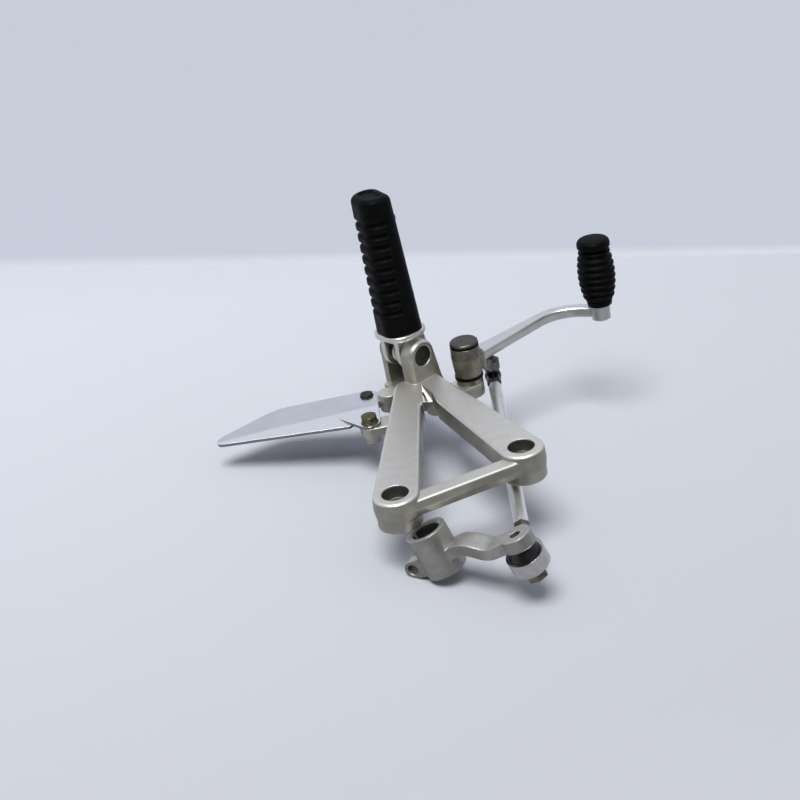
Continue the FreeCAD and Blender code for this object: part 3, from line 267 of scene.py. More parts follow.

# guard sheet: brushed, with a painted highlight on the near side of the fold and painted shade on the upright
# sheared edge
sheetAlloy = {"light": rgb(0.83, 0.84, 0.85), "dull": rgb(0.74, 0.75, 0.76), "strip": rgb(1.0, 1.0, 1.0),
              "cut": rgb(0.24, 0.24, 0.245), "foldStart": (-98.0, 138.0), "foldEnd": (-31.7, 121.7),
              "brush": 900, "brushStretch": (0.05, 1.0, 1.0), "brushTurn": 22, "cloud": 60, "roughness": 0.30,
              "bump": 0.12, "bumpDepth": 0.08 * mm, "bumpEdge": 0.5 * mm, "edge": 0.6 * mm}


def makeSheetAlloy(name, look):
    f = Finish(name)
    brushed = f.noise(look["brush"], 3.0, 0.6, look["brushStretch"], (0, 0, math.radians(look["brushTurn"])))
    cloud = f.noise(look["cloud"], 3.0, 0.5)
    rim = f.edges(look["edge"])
    colour = f.blend(f.spread(cloud, 0.35, 0.7), look["light"], look["dull"])
    start, end = Vector(look["foldStart"]) * mm, Vector(look["foldEnd"]) * mm
    run = (end - start).normalized()
    across = (run.y, -run.x, 0.0)
    near = f.vector("DOT_PRODUCT", f.places, across, "Value") - (start.x * across[0] + start.y * across[1])
    # painted highlight: the strip on the near side of the fold is whitened
    colour = f.blend(f.spread(near, -0.8 * mm, 1.2 * mm, smooth="SMOOTHSTEP"), colour, look["strip"])
    # painted shade: upright faces such as the sheared edge take the dark cut colour
    colour = f.blend(f.spread(f.upward(), 0.75, 0.35), colour, look["cut"])
    rough = look["roughness"] + 0.16 * (brushed - 0.5) + 0.08 * (cloud - 0.5) - 0.06 * rim
    bump = f.bump(brushed, look["bump"], look["bumpDepth"], look["bumpEdge"])
    return f.finish({"Base Color": colour, "Metallic": 1.0, "Roughness": rough, "Normal": bump})


materials["sheet"] = makeSheetAlloy("sheetAlloy", sheetAlloy)

# rubber: nearly black, with a dusty bloom that gathers on the edges
rubber = {"deep": rgb(0.0012, 0.0014, 0.0014), "dusty": rgb(0.0050, 0.0050, 0.0054), "roughness": 0.50,
          "sheen": 0.07, "speckle": 2600, "bloom": 110, "dustShare": 0.35, "bump": 0.22,
          "bumpDepth": 0.10 * mm, "bumpEdge": 0.5 * mm, "edge": 1.0 * mm}
glossRubber = dict(rubber, deep=rgb(0.004, 0.004, 0.0045), dusty=rgb(0.012, 0.012, 0.012), roughness=0.24,
                   sheen=0.45)


def makeRubber(name, look):
    f = Finish(name)
    speckle = f.noise(look["speckle"], 2.0, 0.6)
    bloom = f.noise(look["bloom"], 4.0, 0.6)
    rim = f.edges(look["edge"])
    colour = f.blend(f.spread(bloom, 0.4, 0.75, 0.0, 0.7), look["deep"], look["dusty"])
    colour = f.blend(rim * look["dustShare"], colour, look["dusty"])
    rough = look["roughness"] + 0.14 * (bloom - 0.5) + 0.10 * (speckle - 0.5)
    bump = f.bump(speckle, look["bump"], look["bumpDepth"], look["bumpEdge"])
    return f.finish({"Base Color": colour, "Metallic": 0.0, "Roughness": rough,
                     "Specular IOR Level": look["sheen"], "Normal": bump})


materials["rubber"] = makeRubber("mouldedRubber", rubber)
materials["boot"] = makeRubber("glossRubber", glossRubber)

# plated and plain small parts: two tints that drift into each other, scuffed bright on the edges
plating = {"tint": 420, "scuff": 2400, "wornShare": 0.55, "bump": 0.15, "bumpDepth": 0.06 * mm,
           "bumpEdge": 0.4 * mm, "edge": 0.5 * mm}
platings = {
    "zinc": {"gold": rgb(0.17, 0.14, 0.07), "green": rgb(0.105, 0.10, 0.058), "worn": rgb(0.58, 0.55, 0.46),
             "roughness": 0.34},
    "olive": {"gold": rgb(0.20, 0.185, 0.13), "green": rgb(0.13, 0.135, 0.10), "worn": rgb(0.45, 0.43, 0.36),
              "roughness": 0.36},
    "dark": {"gold": rgb(0.060, 0.057, 0.052), "green": rgb(0.040, 0.040, 0.042), "worn": rgb(0.20, 0.19, 0.18),
             "roughness": 0.40},
    "gun": {"gold": rgb(0.14, 0.133, 0.112), "green": rgb(0.105, 0.101, 0.088), "worn": rgb(0.34, 0.33, 0.30),
            "roughness": 0.44},
    "bright": {"gold": rgb(0.50, 0.49, 0.47), "green": rgb(0.42, 0.415, 0.40), "worn": rgb(0.80, 0.79, 0.77),
               "roughness": 0.15},
    "spring": {"gold": rgb(0.62, 0.60, 0.57), "green": rgb(0.50, 0.48, 0.44), "worn": rgb(0.75, 0.73, 0.70),
               "roughness": 0.30},
    "bronze": {"gold": rgb(0.50, 0.35, 0.18), "green": rgb(0.38, 0.27, 0.15), "worn": rgb(0.62, 0.47, 0.28),
               "roughness": 0.45},
}


def makePlated(name, look):
    f = Finish(name)
    tint = f.noise(plating["tint"], 3.0, 0.55)
    scuff = f.noise(plating["scuff"], 2.0, 0.6)
    rim = f.edges(plating["edge"])
    colour = f.blend(f.spread(tint, 0.38, 0.62), look["gold"], look["green"])
    colour = f.blend(rim * plating["wornShare"], colour, look["worn"])
    rough = look["roughness"] + 0.14 * (scuff - 0.5) + 0.10 * (tint - 0.5)
    bump = f.bump(scuff, plating["bump"], plating["bumpDepth"], plating["bumpEdge"])
    return f.finish({"Base Color": colour, "Metallic": 1.0, "Roughness": rough, "Normal": bump})


for key, colours in platings.items():
    materials[key] = makePlated(key + "Plated", colours)
print("stage: finishes made,", len(materials))

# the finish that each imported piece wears
wears = {
    "cast": ["footrest_bracket"],
    "peg": ["footpeg_bar"],
    "sand": ["shift_arm"],
    "lever": ["gear_lever"],
    "rod": ["link_rod"],
    "sheet": ["heel_guard"],
    "rubber": ["footpeg_rubber", "toe_rubber", "lower_dust_seal", "upper_dust_seal"],
    "boot": ["lever_boot", "shifter_boot"],
    "zinc": ["heel_guard_front_bolt", "pin_washer"],
    "gun": ["lever_pivot_bolt", "lever_ball_stud"],
    "olive": ["near_lock_nut", "shifter_bolt", "shifter_washer", "pivot_collar"],
    "dark": ["heel_guard_back_bolt", "far_lock_nut", "footpeg_pin", "pin_clip", "footpeg_screw_1",
             "footpeg_screw_2", "lever_rod_end"],
    "bright": ["shifter_ball", "shifter_rod_end"],
    "spring": ["footpeg_spring"],
    "bronze": ["pivot_bush"],
}
for key, names in wears.items():
    for name in names:
        packed = nodes[name].data
        packed.materials.clear()
        packed.materials.append(materials[key])


# a geometry tree with named inputs
class ShapeTree(Wiring):
    def __init__(self, name, inputs):
        tree = bpy.data.node_groups.new(name, "GeometryNodeTree")
        Wiring.__init__(self, tree)
        tree.interface.new_socket("Geometry", in_out="INPUT", socket_type="NodeSocketGeometry")
        tree.interface.new_socket("Geometry", in_out="OUTPUT", socket_type="NodeSocketGeometry")
        self.names = {}
        for label, kind in inputs.items():
            item = tree.interface.new_socket(label, in_out="INPUT", socket_type="NodeSocket" + kind)
            self.names[label] = item.identifier
        self.given = self.add("NodeGroupInput", {}, {}, "Geometry")

    def value(self, label):
        return self.given.out(label)

    def attribute(self, name, kind):
        return self.add("GeometryNodeInputNamedAttribute", {"data_type": kind}, {"Name": name}, "Attribute")

    def close(self, shape):
        real = self.add("GeometryNodeRealizeInstances", {}, {"Geometry": shape})
        smooth = self.add("GeometryNodeSetShadeSmooth", {}, {"Geometry": real})
        dressed = self.add("GeometryNodeSetMaterial", {}, {"Geometry": smooth, "Material": self.value("Finish")})
        self.add("NodeGroupOutput", {}, {"Geometry": dressed})


def addObject(name, data):
    piece = bpy.data.objects.new(name, data)
    bpy.context.scene.collection.objects.link(piece)
    return piece


def applyModifiers(piece):
    # what the modifiers give becomes the piece's own mesh
    shaped = piece.evaluated_get(bpy.context.evaluated_depsgraph_get())
    piece.data = bpy.data.meshes.new_from_object(shaped)
    piece.modifiers.clear()


def growPiece(name, mesh, shape, values, place):
    piece = addObject(name, mesh)
    modifier = piece.modifiers.new("shape", "NODES")
    modifier.node_group = shape.tree
    for label, value in values.items():
        modifier[shape.names[label]] = value
    applyModifiers(piece)
    piece.data.name = name
    piece.data.transform(place)
    return piece


# rounded grooves pressed into a skin, along its own inward direction
def makeGrooveTree():
    t = ShapeTree("grooves", {"First": "Float", "Pitch": "Float", "Count": "Float", "Width": "Float",
                              "Depth": "Float", "Soft": "Float", "Finish": "Material"})
    step = (t.attribute("along", "FLOAT") - t.value("First")) / t.value("Pitch")
    nearest = t.add("ShaderNodeMath", {"operation": "ROUND"}, {0: step})
    nearest = t.add("ShaderNodeClamp", {}, {"Value": nearest, "Min": 0.0, "Max": t.value("Count") - 1})
    away = t.add("ShaderNodeMath", {"operation": "ABSOLUTE"}, {0: (step - nearest) * t.value("Pitch")})
    half = t.value("Width") * 0.5
    cut = t.spread(away, half + t.value("Soft"), half - t.value("Soft"), smooth="SMOOTHSTEP")
    reach = cut * t.attribute("tread", "FLOAT") * t.value("Depth")
    shift = t.add("ShaderNodeVectorMath", {"operation": "SCALE"},
                  {0: t.attribute("inward", "FLOAT_VECTOR"), "Scale": reach})
    t.close(t.add("GeometryNodeSetPosition", {}, {"Geometry": t.given, "Offset": shift}))
    return t


grooveTree = makeGrooveTree()


def skinFromRings(name, rings, inward, along, tread):
    # rings of equal count, closed at both ends by a fan
    count = len(rings[0])
    points = [p for ring in rings for p in ring]
    faces = []
    for row in range(len(rings) - 1):
        for i in range(count):
            j = (i + 1) % count
            faces.append((row * count + i, row * count + j, (row + 1) * count + j, (row + 1) * count + i))
    for ring, order in ((0, -1), (len(rings) - 1, 1)):
        middle = sum((Vector(p) for p in rings[ring]), Vector()) / count
        points.append(tuple(middle))
        tip = len(points) - 1
        for i in range(count):
            pair = (ring * count + i, ring * count + (i + 1) % count)
            faces.append((pair[0], pair[1], tip) if order > 0 else (pair[1], pair[0], tip))
    mesh = bpy.data.meshes.new(name)
    mesh.from_pydata(points, [], faces)
    spare = len(points) - len(rings) * count
    columns = (("inward", "FLOAT_VECTOR", "vector", inward, (0.0, 0.0, 0.0)),
               ("along", "FLOAT", "value", along, 0.0), ("tread", "FLOAT", "value", tread, 0.0))
    for label, kind, field, values, blank in columns:
        rows = [v for ring in values for v in ring] + [blank] * spare
        store = mesh.attributes.new(label, kind, "POINT")
        if kind == "FLOAT_VECTOR":
            store.data.foreach_set(field, [c for v in rows for c in v])
        else:
            store.data.foreach_set(field, rows)
    return mesh


def smoothStep(value, low, high):
    share = min(1.0, max(0.0, (value - low) / (high - low)))
    return share * share * (3 - 2 * share)


def cutAway(piece, base, roof):
    # takes a prism out of a piece, given its lower and upper corners in turn
    count = len(base)
    faces = [tuple(reversed(range(count))), tuple(range(count, 2 * count))]
    faces += [(i, (i + 1) % count, count + (i + 1) % count, count + i) for i in range(count)]
    mesh = bpy.data.meshes.new("cutter")
    mesh.from_pydata([tuple(c * mm for c in corner) for corner in base + roof], [], faces)
    cutter = addObject("cutter", mesh)
    cut = piece.modifiers.new("cut", "BOOLEAN")
    cut.operation = "DIFFERENCE"
    cut.solver = "MANIFOLD"
    cut.object = cutter
    applyModifiers(piece)
    bpy.data.objects.remove(cutter)


# the pin that the peg folds on
pegPin = {"place": (25.1, 124.0, 33.5), "turn": 20}

# peg rubber: an oval that thins towards the tip, with cross grooves over the tread
pegRubber = {"foot": 17.8, "top": 103.8, "middle": -0.6, "frontX": -6.0, "frontY": 3.5, "frontRadius": 10.0,
             "backFoot": 0.5, "backTop": -4.7, "backY": 5.5, "backRadius": 8.0, "round": 3.6, "roundRows": 8,
             "dish": 0.9, "dishEdge": 5.0, "grooves": 9, "pitch": 7.0, "width": 2.5, "depth": 1.9, "soft": 0.95,
             "grooveEnd": -4.6, "grooveFade": 0.9, "turn": -16.0, "turnCentre": 2.25, "around": 132,
             "arcSteps": 400, "rowStep": 0.36, "slotFace": -6.8, "slotHalf": 5.8, "slotTop": 99.8,
             "slotBelow": 5, "slotBack": 30.0}


def ovalRing(look, height, grow):
    # points and outward directions of the section at one height, from the middle of the back
    share = (height - look["foot"]) / (look["top"] - look["foot"])
    back = look["backFoot"] + (look["backTop"] - look["backFoot"]) * share
    front, big, small = look["frontX"], look["frontRadius"], look["backRadius"]
    run = Vector((front, look["frontY"])) - Vector((back, look["backY"]))
    sideAngle = math.atan2(run.y, run.x) % (2 * math.pi) - math.pi / 2 - math.asin((big - small) / run.length)

    def onArc(x, y, radius, angle):
        return (x + (radius + grow) * math.cos(angle), y + (radius + grow) * math.sin(angle)), angle

    steps = look["arcSteps"]
    half = [((back + small + grow, 0.0), 0.0)]
    half += [onArc(back, look["backY"], small, sideAngle * k / steps) for k in range(1, steps + 1)]
    half += [onArc(front, look["frontY"], big, sideAngle + (math.pi - sideAngle) * k / steps)
             for k in range(steps + 1)]
    half.append(((front - big - grow, 0.0), math.pi))
    whole = half + [((p[0], -p[1]), -angle) for p, angle in reversed(half[1:-1])]
    places = [p for p, angle in whole]
    lengths = [0.0]
    for p, q in zip(places, places[1:] + places[:1]):
        lengths.append(lengths[-1] + math.dist(p, q))
    # the same number of points on every ring, evenly spaced
    ring, out = [], []
    at = 0
    for i in range(look["around"]):
        wanted = lengths[-1] * i / look["around"]
        while lengths[at + 1] < wanted:
            at += 1
        (p, angle), q = whole[at], places[(at + 1) % len(places)]
        part = (wanted - lengths[at]) / max(1e-9, lengths[at + 1] - lengths[at])
        ring.append((p[0] + (q[0] - p[0]) * part, p[1] + (q[1] - p[1]) * part))
        out.append((math.cos(angle), math.sin(angle)))
    return ring, out


def makePegRubber(look):
    body = look["top"] - look["round"] - look["foot"]
    rows = round(body / look["rowStep"])
    levels = [(look["foot"] + body * k / rows, 0.0) for k in range(rows + 1)]
    for k in range(1, look["roundRows"] + 1):
        angle = math.pi / 2 * k / look["roundRows"]
        levels.append((look["top"] - look["round"] + look["round"] * math.sin(angle),
                       -look["round"] * (1 - math.cos(angle))))
    # a shallow dish in the top
    for drop, inset in ((0.0, 0.5), (0.15, 0.15), (look["dish"], -0.1), (look["dish"] + 0.05, -0.6)):
        levels.append((look["top"] - drop, -look["dishEdge"] + inset))
    rings, inward, along, tread = [], [], [], []
    fadeStart, fadeEnd = look["grooveEnd"] - look["grooveFade"], look["grooveEnd"] + look["grooveFade"]
    for height, grow in levels:
        ring, out = ovalRing(look, min(height, look["top"]), grow)
        rings.append([(x * mm, (y + look["middle"]) * mm, height * mm) for x, y in ring])
        inward.append([(-c, -s, 0.0) for c, s in out])
        along.append([height * mm] * len(ring))
        keep = 1.0 if grow == 0 else 0.0
        tread.append([keep * (1 - smoothStep(x, fadeStart, fadeEnd)) for x, y in ring])
    mesh = skinFromRings("pegRubberSkin", rings, inward, along, tread)
    first = (look["foot"] + look["top"]) / 2 - look["pitch"] * (look["grooves"] - 1) / 2
    piece = growPiece("pegRubber", mesh, grooveTree,
                      {"First": first * mm, "Pitch": look["pitch"] * mm, "Count": float(look["grooves"]),
                       "Width": look["width"] * mm, "Depth": look["depth"] * mm, "Soft": look["soft"] * mm,
                       "Finish": materials["rubber"]}, Matrix.Identity(4))
    # the tread is turned on the peg's own axis, against the pin
    centre = Vector((look["frontX"] + look["turnCentre"], look["middle"], 0.0)) * mm
    turn = Matrix.Rotation(math.radians(look["turn"]), 4, "Z")
    piece.data.transform(Matrix.Translation(centre) @ turn @ Matrix.Translation(-centre))
    # slot for the alloy core at the back
    near, far = look["middle"] - look["slotHalf"], look["middle"] + look["slotHalf"]
    face, back = look["slotFace"], look["slotBack"]
    section = [(face, near), (back, near), (back, far), (face, far)]
    cutAway(piece, [(x, y, look["foot"] - look["slotBelow"]) for x, y in section],
            [(x, y, look["slotTop"]) for x, y in section])
    piece.data.transform(Matrix.Translation(Vector(pegPin["place"]) * mm)
                         @ Matrix.Rotation(math.radians(pegPin["turn"]), 4, "Z"))
    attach(piece, "footpeg")
    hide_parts("footpeg_rubber")


makePegRubber(pegRubber)
print("stage: peg rubber grooved")

# bracket: the web between the arms slopes down to a notch at the parting line
recess = {"tip": (23.9, 106.6, 17.9), "left": (19.2, 96.5), "right": (25.0, 92.2), "edge": 11.2,
          "leftFoot": (13.9, 81.0), "rightFoot": (21.6, 76.0), "below": -4.0, "above": 24.0, "merge": 1e-6,
          "sharp": 32}


def makeBracket(look):
    shape = bmesh.new()
    shape.from_mesh(nodes["footrest_bracket"].data)
    bmesh.ops.remove_doubles(shape, verts=shape.verts, dist=look["merge"])
    mesh = bpy.data.meshes.new("castBracket")
    shape.to_mesh(mesh)
    shape.free()
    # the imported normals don't fit the merged corners
    mesh.attributes.remove(mesh.attributes["custom_normal"])
    piece = addObject("castBracket", mesh)
    tip, left, right = look["tip"], look["left"], look["right"]
    edge, below, above = look["edge"], look["below"], look["above"]
    through = [look["leftFoot"], look["rightFoot"], right, left]
    cutAway(piece, [(x, y, below) for x, y in through], [(x, y, above) for x, y in through])
    cutAway(piece, [(*right, edge), tip, (*left, edge)],
            [(*right, above), (tip[0], tip[1], above), (*left, above)])
    piece.data.materials.clear()
    piece.data.materials.append(materials["cast"])
    piece.data.shade_smooth()
    piece.data.set_sharp_from_angle(angle=math.radians(look["sharp"]))
    piece.modifiers.new("flatFaces", "WEIGHTED_NORMAL").keep_sharp = True
    applyModifiers(piece)
    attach(piece, "bracket")
    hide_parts("footrest_bracket")


makeBracket(recess)
print("stage: bracket recessed")

# bolts of the heel guard: a chamfered hexagon on a round flange
boltForm = {"seat": 10.3, "across": 9.0, "flangeRadius": 5.5, "flange": 1.0, "chamfer": 0.75, "shankRadius": 3.0,
            "shank": 12.0, "turn": 17.0, "sharp": 30}
guardBolts = {"front": {"x": -15.5, "y": 97.0, "head": 3.6, "finish": "zinc", "slot": "zinc_steel"},
              "back": {"x": -4.5, "y": 130.5, "head": 1.1, "across": 7.6, "flange": 0.5, "flangeRadius": 4.4,
                       "finish": "dark", "slot": "dark_steel"}}


def makeBoltTree():
    t = ShapeTree("hexBolt", {"Across": "Float", "Head": "Float", "Flange Radius": "Float", "Flange": "Float",
                              "Chamfer": "Float", "Shank Radius": "Float", "Shank": "Float", "Finish": "Material"})

    def cylinder(sides, radius, depth, rise):
        shape = t.add("GeometryNodeMeshCylinder", {}, {"Vertices": sides, "Radius": radius, "Depth": depth})
        way = t.add("ShaderNodeCombineXYZ", {}, {"X": 0.0, "Y": 0.0, "Z": rise})
        return t.add("GeometryNodeTransform", {}, {"Geometry": shape, "Translation": way})

    def cone(foot, top, depth):
        return t.add("GeometryNodeMeshCone", {}, {"Vertices": 64, "Radius Top": top, "Radius Bottom": foot,
                                                  "Depth": depth})

    high = t.value("Flange") + t.value("Head")
    hexagon = cylinder(6, t.value("Across") / math.sqrt(3), high, high / 2)
    # a cone turns the corners off
    crown = t.value("Across") * 0.47
    slope = math.tan(math.radians(60))
    head = t.add("GeometryNodeMeshBoolean", {"operation": "INTERSECT", "solver": "EXACT"},
                 {"Mesh 2": [hexagon, cone(crown + high * slope, crown, high)]})
    flange = cone(t.value("Flange Radius"), t.value("Flange Radius") - t.value("Chamfer"), t.value("Flange"))
    shank = cylinder(32, t.value("Shank Radius"), t.value("Shank"), 0 - t.value("Shank") / 2)
    t.close(t.add("GeometryNodeJoinGeometry", {}, {"Geometry": [head, flange, shank]}))
    return t


def makeGuardBolts(look, bolts):
    shape = makeBoltTree()
    for label, bolt in bolts.items():
        form = dict(look, **bolt)
        place = Matrix.Translation(Vector((form["x"], form["y"], form["seat"])) * mm) \
            @ Matrix.Rotation(math.radians(form["turn"]), 4, "Z")
        piece = growPiece(label + "GuardBolt", bpy.data.meshes.new("boltSeed"), shape,
                          {"Across": form["across"] * mm, "Head": form["head"] * mm, "Shank": form["shank"] * mm,
                           "Flange Radius": form["flangeRadius"] * mm, "Flange": form["flange"] * mm,
                           "Chamfer": form["chamfer"] * mm, "Shank Radius": form["shankRadius"] * mm,
                           "Finish": materials[form["finish"]]}, place)
        piece.data.set_sharp_from_angle(angle=math.radians(form["sharp"]))
        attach(piece, "bracket")
        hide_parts("heel_guard_" + label + "_bolt")


makeGuardBolts(boltForm, guardBolts)
print("stage: guard bolts made")

# toe rubber: a ribbed barrel with a plain band under its cap
toeRubber = {"x": 152.5, "y": 110.0, "low": 28.45, "length": 44.0, "endRadius": 9.0, "midRadius": 11.8, "ribs": 8,
             "depth": 1.3, "band": 5.0, "cap": 3.0, "flare": 0.3, "soft": 0.75, "around": 96, "rowStep": 0.2}


def makeToeRubber(look):
    cap, depth, count = look["cap"], look["depth"], look["around"]
    bandStart = look["length"] - look["band"]
    ribbed = look["length"] - look["band"] - cap
    pitch = ribbed / (2 * look["ribs"] + 1)
    swell = look["midRadius"] - look["endRadius"]

    def radiusAt(h):
        if h < cap:
            return look["endRadius"] - depth + look["flare"] * h / cap
        if h > bandStart:
            over = max(0.0, h - (look["length"] - cap)) / cap
            return look["endRadius"] + depth - 2 * depth * (1 - math.sqrt(max(0.0, 1 - over * over)))
        share = 2 * (h - cap) / ribbed - 1
        return look["endRadius"] + swell * (1 - min(1.0, share * share))

    rows = round(look["length"] / look["rowStep"])
    turns = [2 * math.pi * i / count for i in range(count)]
    rings, inward, along, tread = [], [], [], []
    for k in range(rows + 1):
        h = look["length"] * k / rows
        radius = radiusAt(h)
        rings.append([(radius * math.cos(a) * mm, radius * math.sin(a) * mm, h * mm) for a in turns])
        inward.append([(-math.cos(a), -math.sin(a), 0.0) for a in turns])
        along.append([h * mm] * count)
        tread.append([1.0 if cap <= h <= bandStart else 0.0] * count)
    mesh = skinFromRings("toeRubberSkin", rings, inward, along, tread)
    piece = growPiece("toeRubber", mesh, grooveTree,
                      {"First": (cap + pitch / 2) * mm, "Pitch": 2 * pitch * mm, "Count": float(look["ribs"] + 1),
                       "Width": pitch * mm, "Depth": depth * mm, "Soft": look["soft"] * mm,
                       "Finish": materials["rubber"]},
                      Matrix.Translation(Vector((look["x"], look["y"], look["low"])) * mm))
    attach(piece, "gear_lever")
    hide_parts("toe_rubber")


makeToeRubber(toeRubber)
print("stage: toe rubber ribbed")

# return spring of the peg: a round wire coil with one straight leg
pegSpring = {"coil": 6.45, "wire": 1.05, "turns": 2.5, "pitch": 2.5, "leg": 21.2, "along": 3.75}


def makeSpringTree():
    t = ShapeTree("spring", {"Turns": "Float", "Height": "Float", "Radius": "Float", "Wire": "Float",
                             "Leg": "Float", "Finish": "Material"})
    coil = t.add("GeometryNodeCurveSpiral", {}, {"Resolution": 64, "Rotations": t.value("Turns"),
                                                 "Start Radius": t.value("Radius"),
                                                 "End Radius": t.value("Radius"), "Height": t.value("Height")})
    foot = t.add("ShaderNodeCombineXYZ", {}, {"X": t.value("Radius"), "Y": 0.0, "Z": 0.0})
    tip = t.add("ShaderNodeCombineXYZ", {}, {"X": t.value("Radius"), "Y": 0 - t.value("Leg"), "Z": 0.0})
    leg = t.add("GeometryNodeCurvePrimitiveLine", {}, {"Start": foot, "End": tip})
    join = t.add("GeometryNodeJoinGeometry", {}, {"Geometry": [coil, leg]})
    section = t.add("GeometryNodeCurvePrimitiveCircle", {}, {"Resolution": 16, "Radius": t.value("Wire")}, "Curve")
    t.close(t.add("GeometryNodeCurveToMesh", {}, {"Curve": join, "Profile Curve": section, "Fill Caps": True}))
    return t


def makeSpring(look):
    turn = math.radians(pegPin["turn"])
    outward = Vector((math.cos(turn), math.sin(turn), 0))
    along = Vector((math.sin(turn), -math.cos(turn), 0))
    rise = Vector((0, 0, 1))
    height = look["turns"] * look["pitch"]
    start = Vector(pegPin["place"]) - along * (look["along"] + height / 2)
    place = Matrix((outward, rise, along)).transposed().to_4x4()
    place.translation = start * mm
    piece = growPiece("pegSpring", bpy.data.meshes.new("springSeed"), makeSpringTree(),
                      {"Turns": look["turns"], "Height": height * mm, "Radius": look["coil"] * mm,
                       "Wire": look["wire"] * mm, "Leg": look["leg"] * mm, "Finish": materials["spring"]}, place)
    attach(piece, "bracket")
    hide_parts("footpeg_spring")


makeSpring(pegSpring)
print("stage: spring wound")

# camera of the photograph, placed from the two bolt holes and the pin
view = {"place": (-0.20205, -0.56462, 0.37087), "turn": (62.5437, 10.0548, -22.6173), "lens": 58.5, "sensor": 36}
lensData = bpy.data.cameras.new("studioCamera")
lensData.lens = view["lens"]
lensData.sensor_width = view["sensor"]
camera = addObject("studioCamera", lensData)
camera.location = view["place"]
camera.rotation_euler = Euler([math.radians(a) for a in view["turn"]])
bpy.context.scene.camera = camera

# table under the part, which lies on its clamp, and a wall behind it
table = {"up": (0.165, -0.06, 0.985), "depth": -0.0348,
         "edge": [(-0.1336, 0.5240, 0.0190), (0.4102, 0.3324, -0.0838)],
         "floor": rgb(0.575, 0.583, 0.620), "paintedFarLight": rgb(0.735, 0.755, 0.800), "farStart": -0.15, "farEnd": 0.40,
         "wall": rgb(0.585, 0.615, 0.715), "glowFoot": rgb(0.70, 0.73, 0.80), "cove": 0.011,
         "halfWidth": 3.0, "length": 4.5, "wallHeight": 1.6}


def oneSided(f, front):
    # the table and the wall can be seen through from behind
    clear = f.add("ShaderNodeBsdfTransparent", {}, {})
    behind = f.add("ShaderNodeNewGeometry", {}, {}, "Backfacing")
    return f.finishWith(f.add("ShaderNodeMixShader", {}, {0: behind, 1: front, 2: clear}))


def makeFloorFinish():
    f = Finish("paleTable")
    cloud = f.noise(3.0, 2.0, 0.5)
    colour = f.blend(f.spread(cloud, 0.3, 0.7, 0.0, 0.08), table["floor"], table["wall"])
    # painted light: paler towards the wall, darker towards the front
    colour = f.blend(f.spread(f.place("Y"), table["farStart"], table["farEnd"]), colour, table["paintedFarLight"])
    return oneSided(f, f.add("ShaderNodeBsdfDiffuse", {}, {"Color": colour, "Roughness": 0.5}))


def makeWallFinish():
    # seen and mirrored as an even pale wall, whatever light falls on it
    f = Finish("paleWall")
    cloud = f.noise(2.0, 2.0, 0.5)
    colour = f.blend(f.spread(cloud, 0.3, 0.7, 0.0, 0.10), table["wall"], table["floor"])
    # a painted glow along the foot of the wall runs softly into the table
    height = f.vector("DOT_PRODUCT", f.places, tuple(Vector(table["up"]).normalized()), "Value") - table["depth"]
    colour = f.blend(f.spread(height, table["cove"], 0.0, smooth="SMOOTHSTEP"), colour, table["glowFoot"])
    matte = f.add("ShaderNodeBsdfDiffuse", {}, {"Color": colour, "Roughness": 0.5})
    glow = f.add("ShaderNodeEmission", {}, {"Color": colour, "Strength": 1.0})
    rays = f.add("ShaderNodeLightPath", {}, {}, "Is Camera Ray")
    seen = rays.combine("MAXIMUM", rays, rays.out("Is Glossy Ray"))
    return oneSided(f, f.add("ShaderNodeMixShader", {}, {0: seen, 1: matte, 2: glow}))


def makeStage():
    up = Vector(table["up"]).normalized()
    left, right = [Vector(p) for p in table["edge"]]
    along = (right - left).normalized()
    toward = up.cross(along).normalized()
    if toward.y > 0:
        toward = -toward
    middle = (left + right) / 2
    middle = middle + up * (table["depth"] - middle.dot(up))
    start, end = middle - along * table["halfWidth"], middle + along * table["halfWidth"]
    out, rise = toward * table["length"], up * table["wallHeight"]
    for name, corners, facing, finish, shadow in (
            ("tableTop", [start, start + out, end + out, end], up, makeFloorFinish(), True),
            ("wallBehind", [start, end, end + rise, start + rise], toward, makeWallFinish(), False)):
        normal = (corners[1] - corners[0]).cross(corners[2] - corners[0])
        if normal.dot(facing) < 0:
            corners = corners[::-1]
        mesh = bpy.data.meshes.new(name)
        mesh.from_pydata([tuple(c) for c in corners], [], [(0, 1, 2, 3)])
        mesh.materials.append(finish)
        piece = addObject(name, mesh)
        piece.visible_shadow = shadow


makeStage()

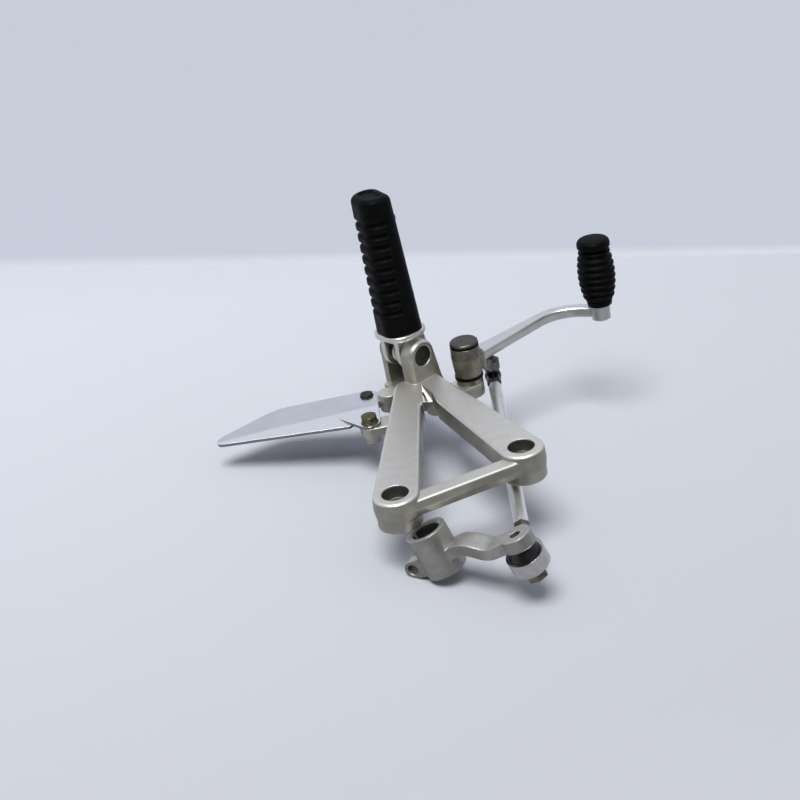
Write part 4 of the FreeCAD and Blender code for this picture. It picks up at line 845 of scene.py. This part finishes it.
# soft light: a pale sky, dim on the side of the room that the part faces
light = {"high": rgb(0.92, 0.93, 0.97), "low": rgb(0.54, 0.545, 0.57), "strength": 0.60, "highFrom": 0.85,
         "dim": rgb(0.03, 0.03, 0.035), "dimSide": (-0.34, -0.90, 0.28), "dimStart": 0.35, "dimEnd": 0.9,
         "dimShare": 0.85, "backdrop": rgb(0.585, 0.615, 0.715)}


def makeSky():
    world = bpy.data.worlds.new("studioSky")
    bpy.context.scene.world = world
    world.use_nodes = True
    w = Wiring(world.node_tree)
    way = w.add("ShaderNodeTexCoord", {}, {}, "Generated")
    height = w.add("ShaderNodeSeparateXYZ", {}, {0: way}, "Z")
    sky = w.blend(w.spread(height, 0.0, light["highFrom"]), light["low"], light["high"])
    facing = w.vector("DOT_PRODUCT", way, light["dimSide"], "Value")
    sky = w.blend(w.spread(facing, light["dimStart"], light["dimEnd"]) * light["dimShare"], sky, light["dim"])
    glow = w.add("ShaderNodeBackground", {}, {"Color": sky, "Strength": light["strength"]})
    plain = w.add("ShaderNodeBackground", {}, {"Color": light["backdrop"], "Strength": 1.0})
    rays = w.add("ShaderNodeLightPath", {}, {}, "Is Camera Ray")
    w.add("ShaderNodeOutputWorld", {}, {"Surface": w.add("ShaderNodeMixShader", {}, {0: rays, 1: glow, 2: plain})})


# one large lamp, high above and a little on the camera's side
softbox = {"place": (-0.42, -0.86, 2.48), "target": (0.02, 0.04, 0.0), "size": 1.40, "power": 57.5,
           "colour": (0.97, 0.985, 1.0)}


def makeLamp(name, look):
    data = bpy.data.lights.new(name, "AREA")
    data.shape = "DISK"
    data.size = look["size"]
    data.energy = look["power"]
    data.color = look["colour"]
    lamp = addObject(name, data)
    lamp.location = look["place"]
    aim = Vector(look["target"]) - Vector(look["place"])
    lamp.rotation_euler = aim.to_track_quat("-Z", "Y").to_euler()


makeSky()
makeLamp("softboxAbove", softbox)
bpy.context.scene.view_settings.view_transform = "Standard"
print("stage: camera, table and light set")

print("stage: scene ready")
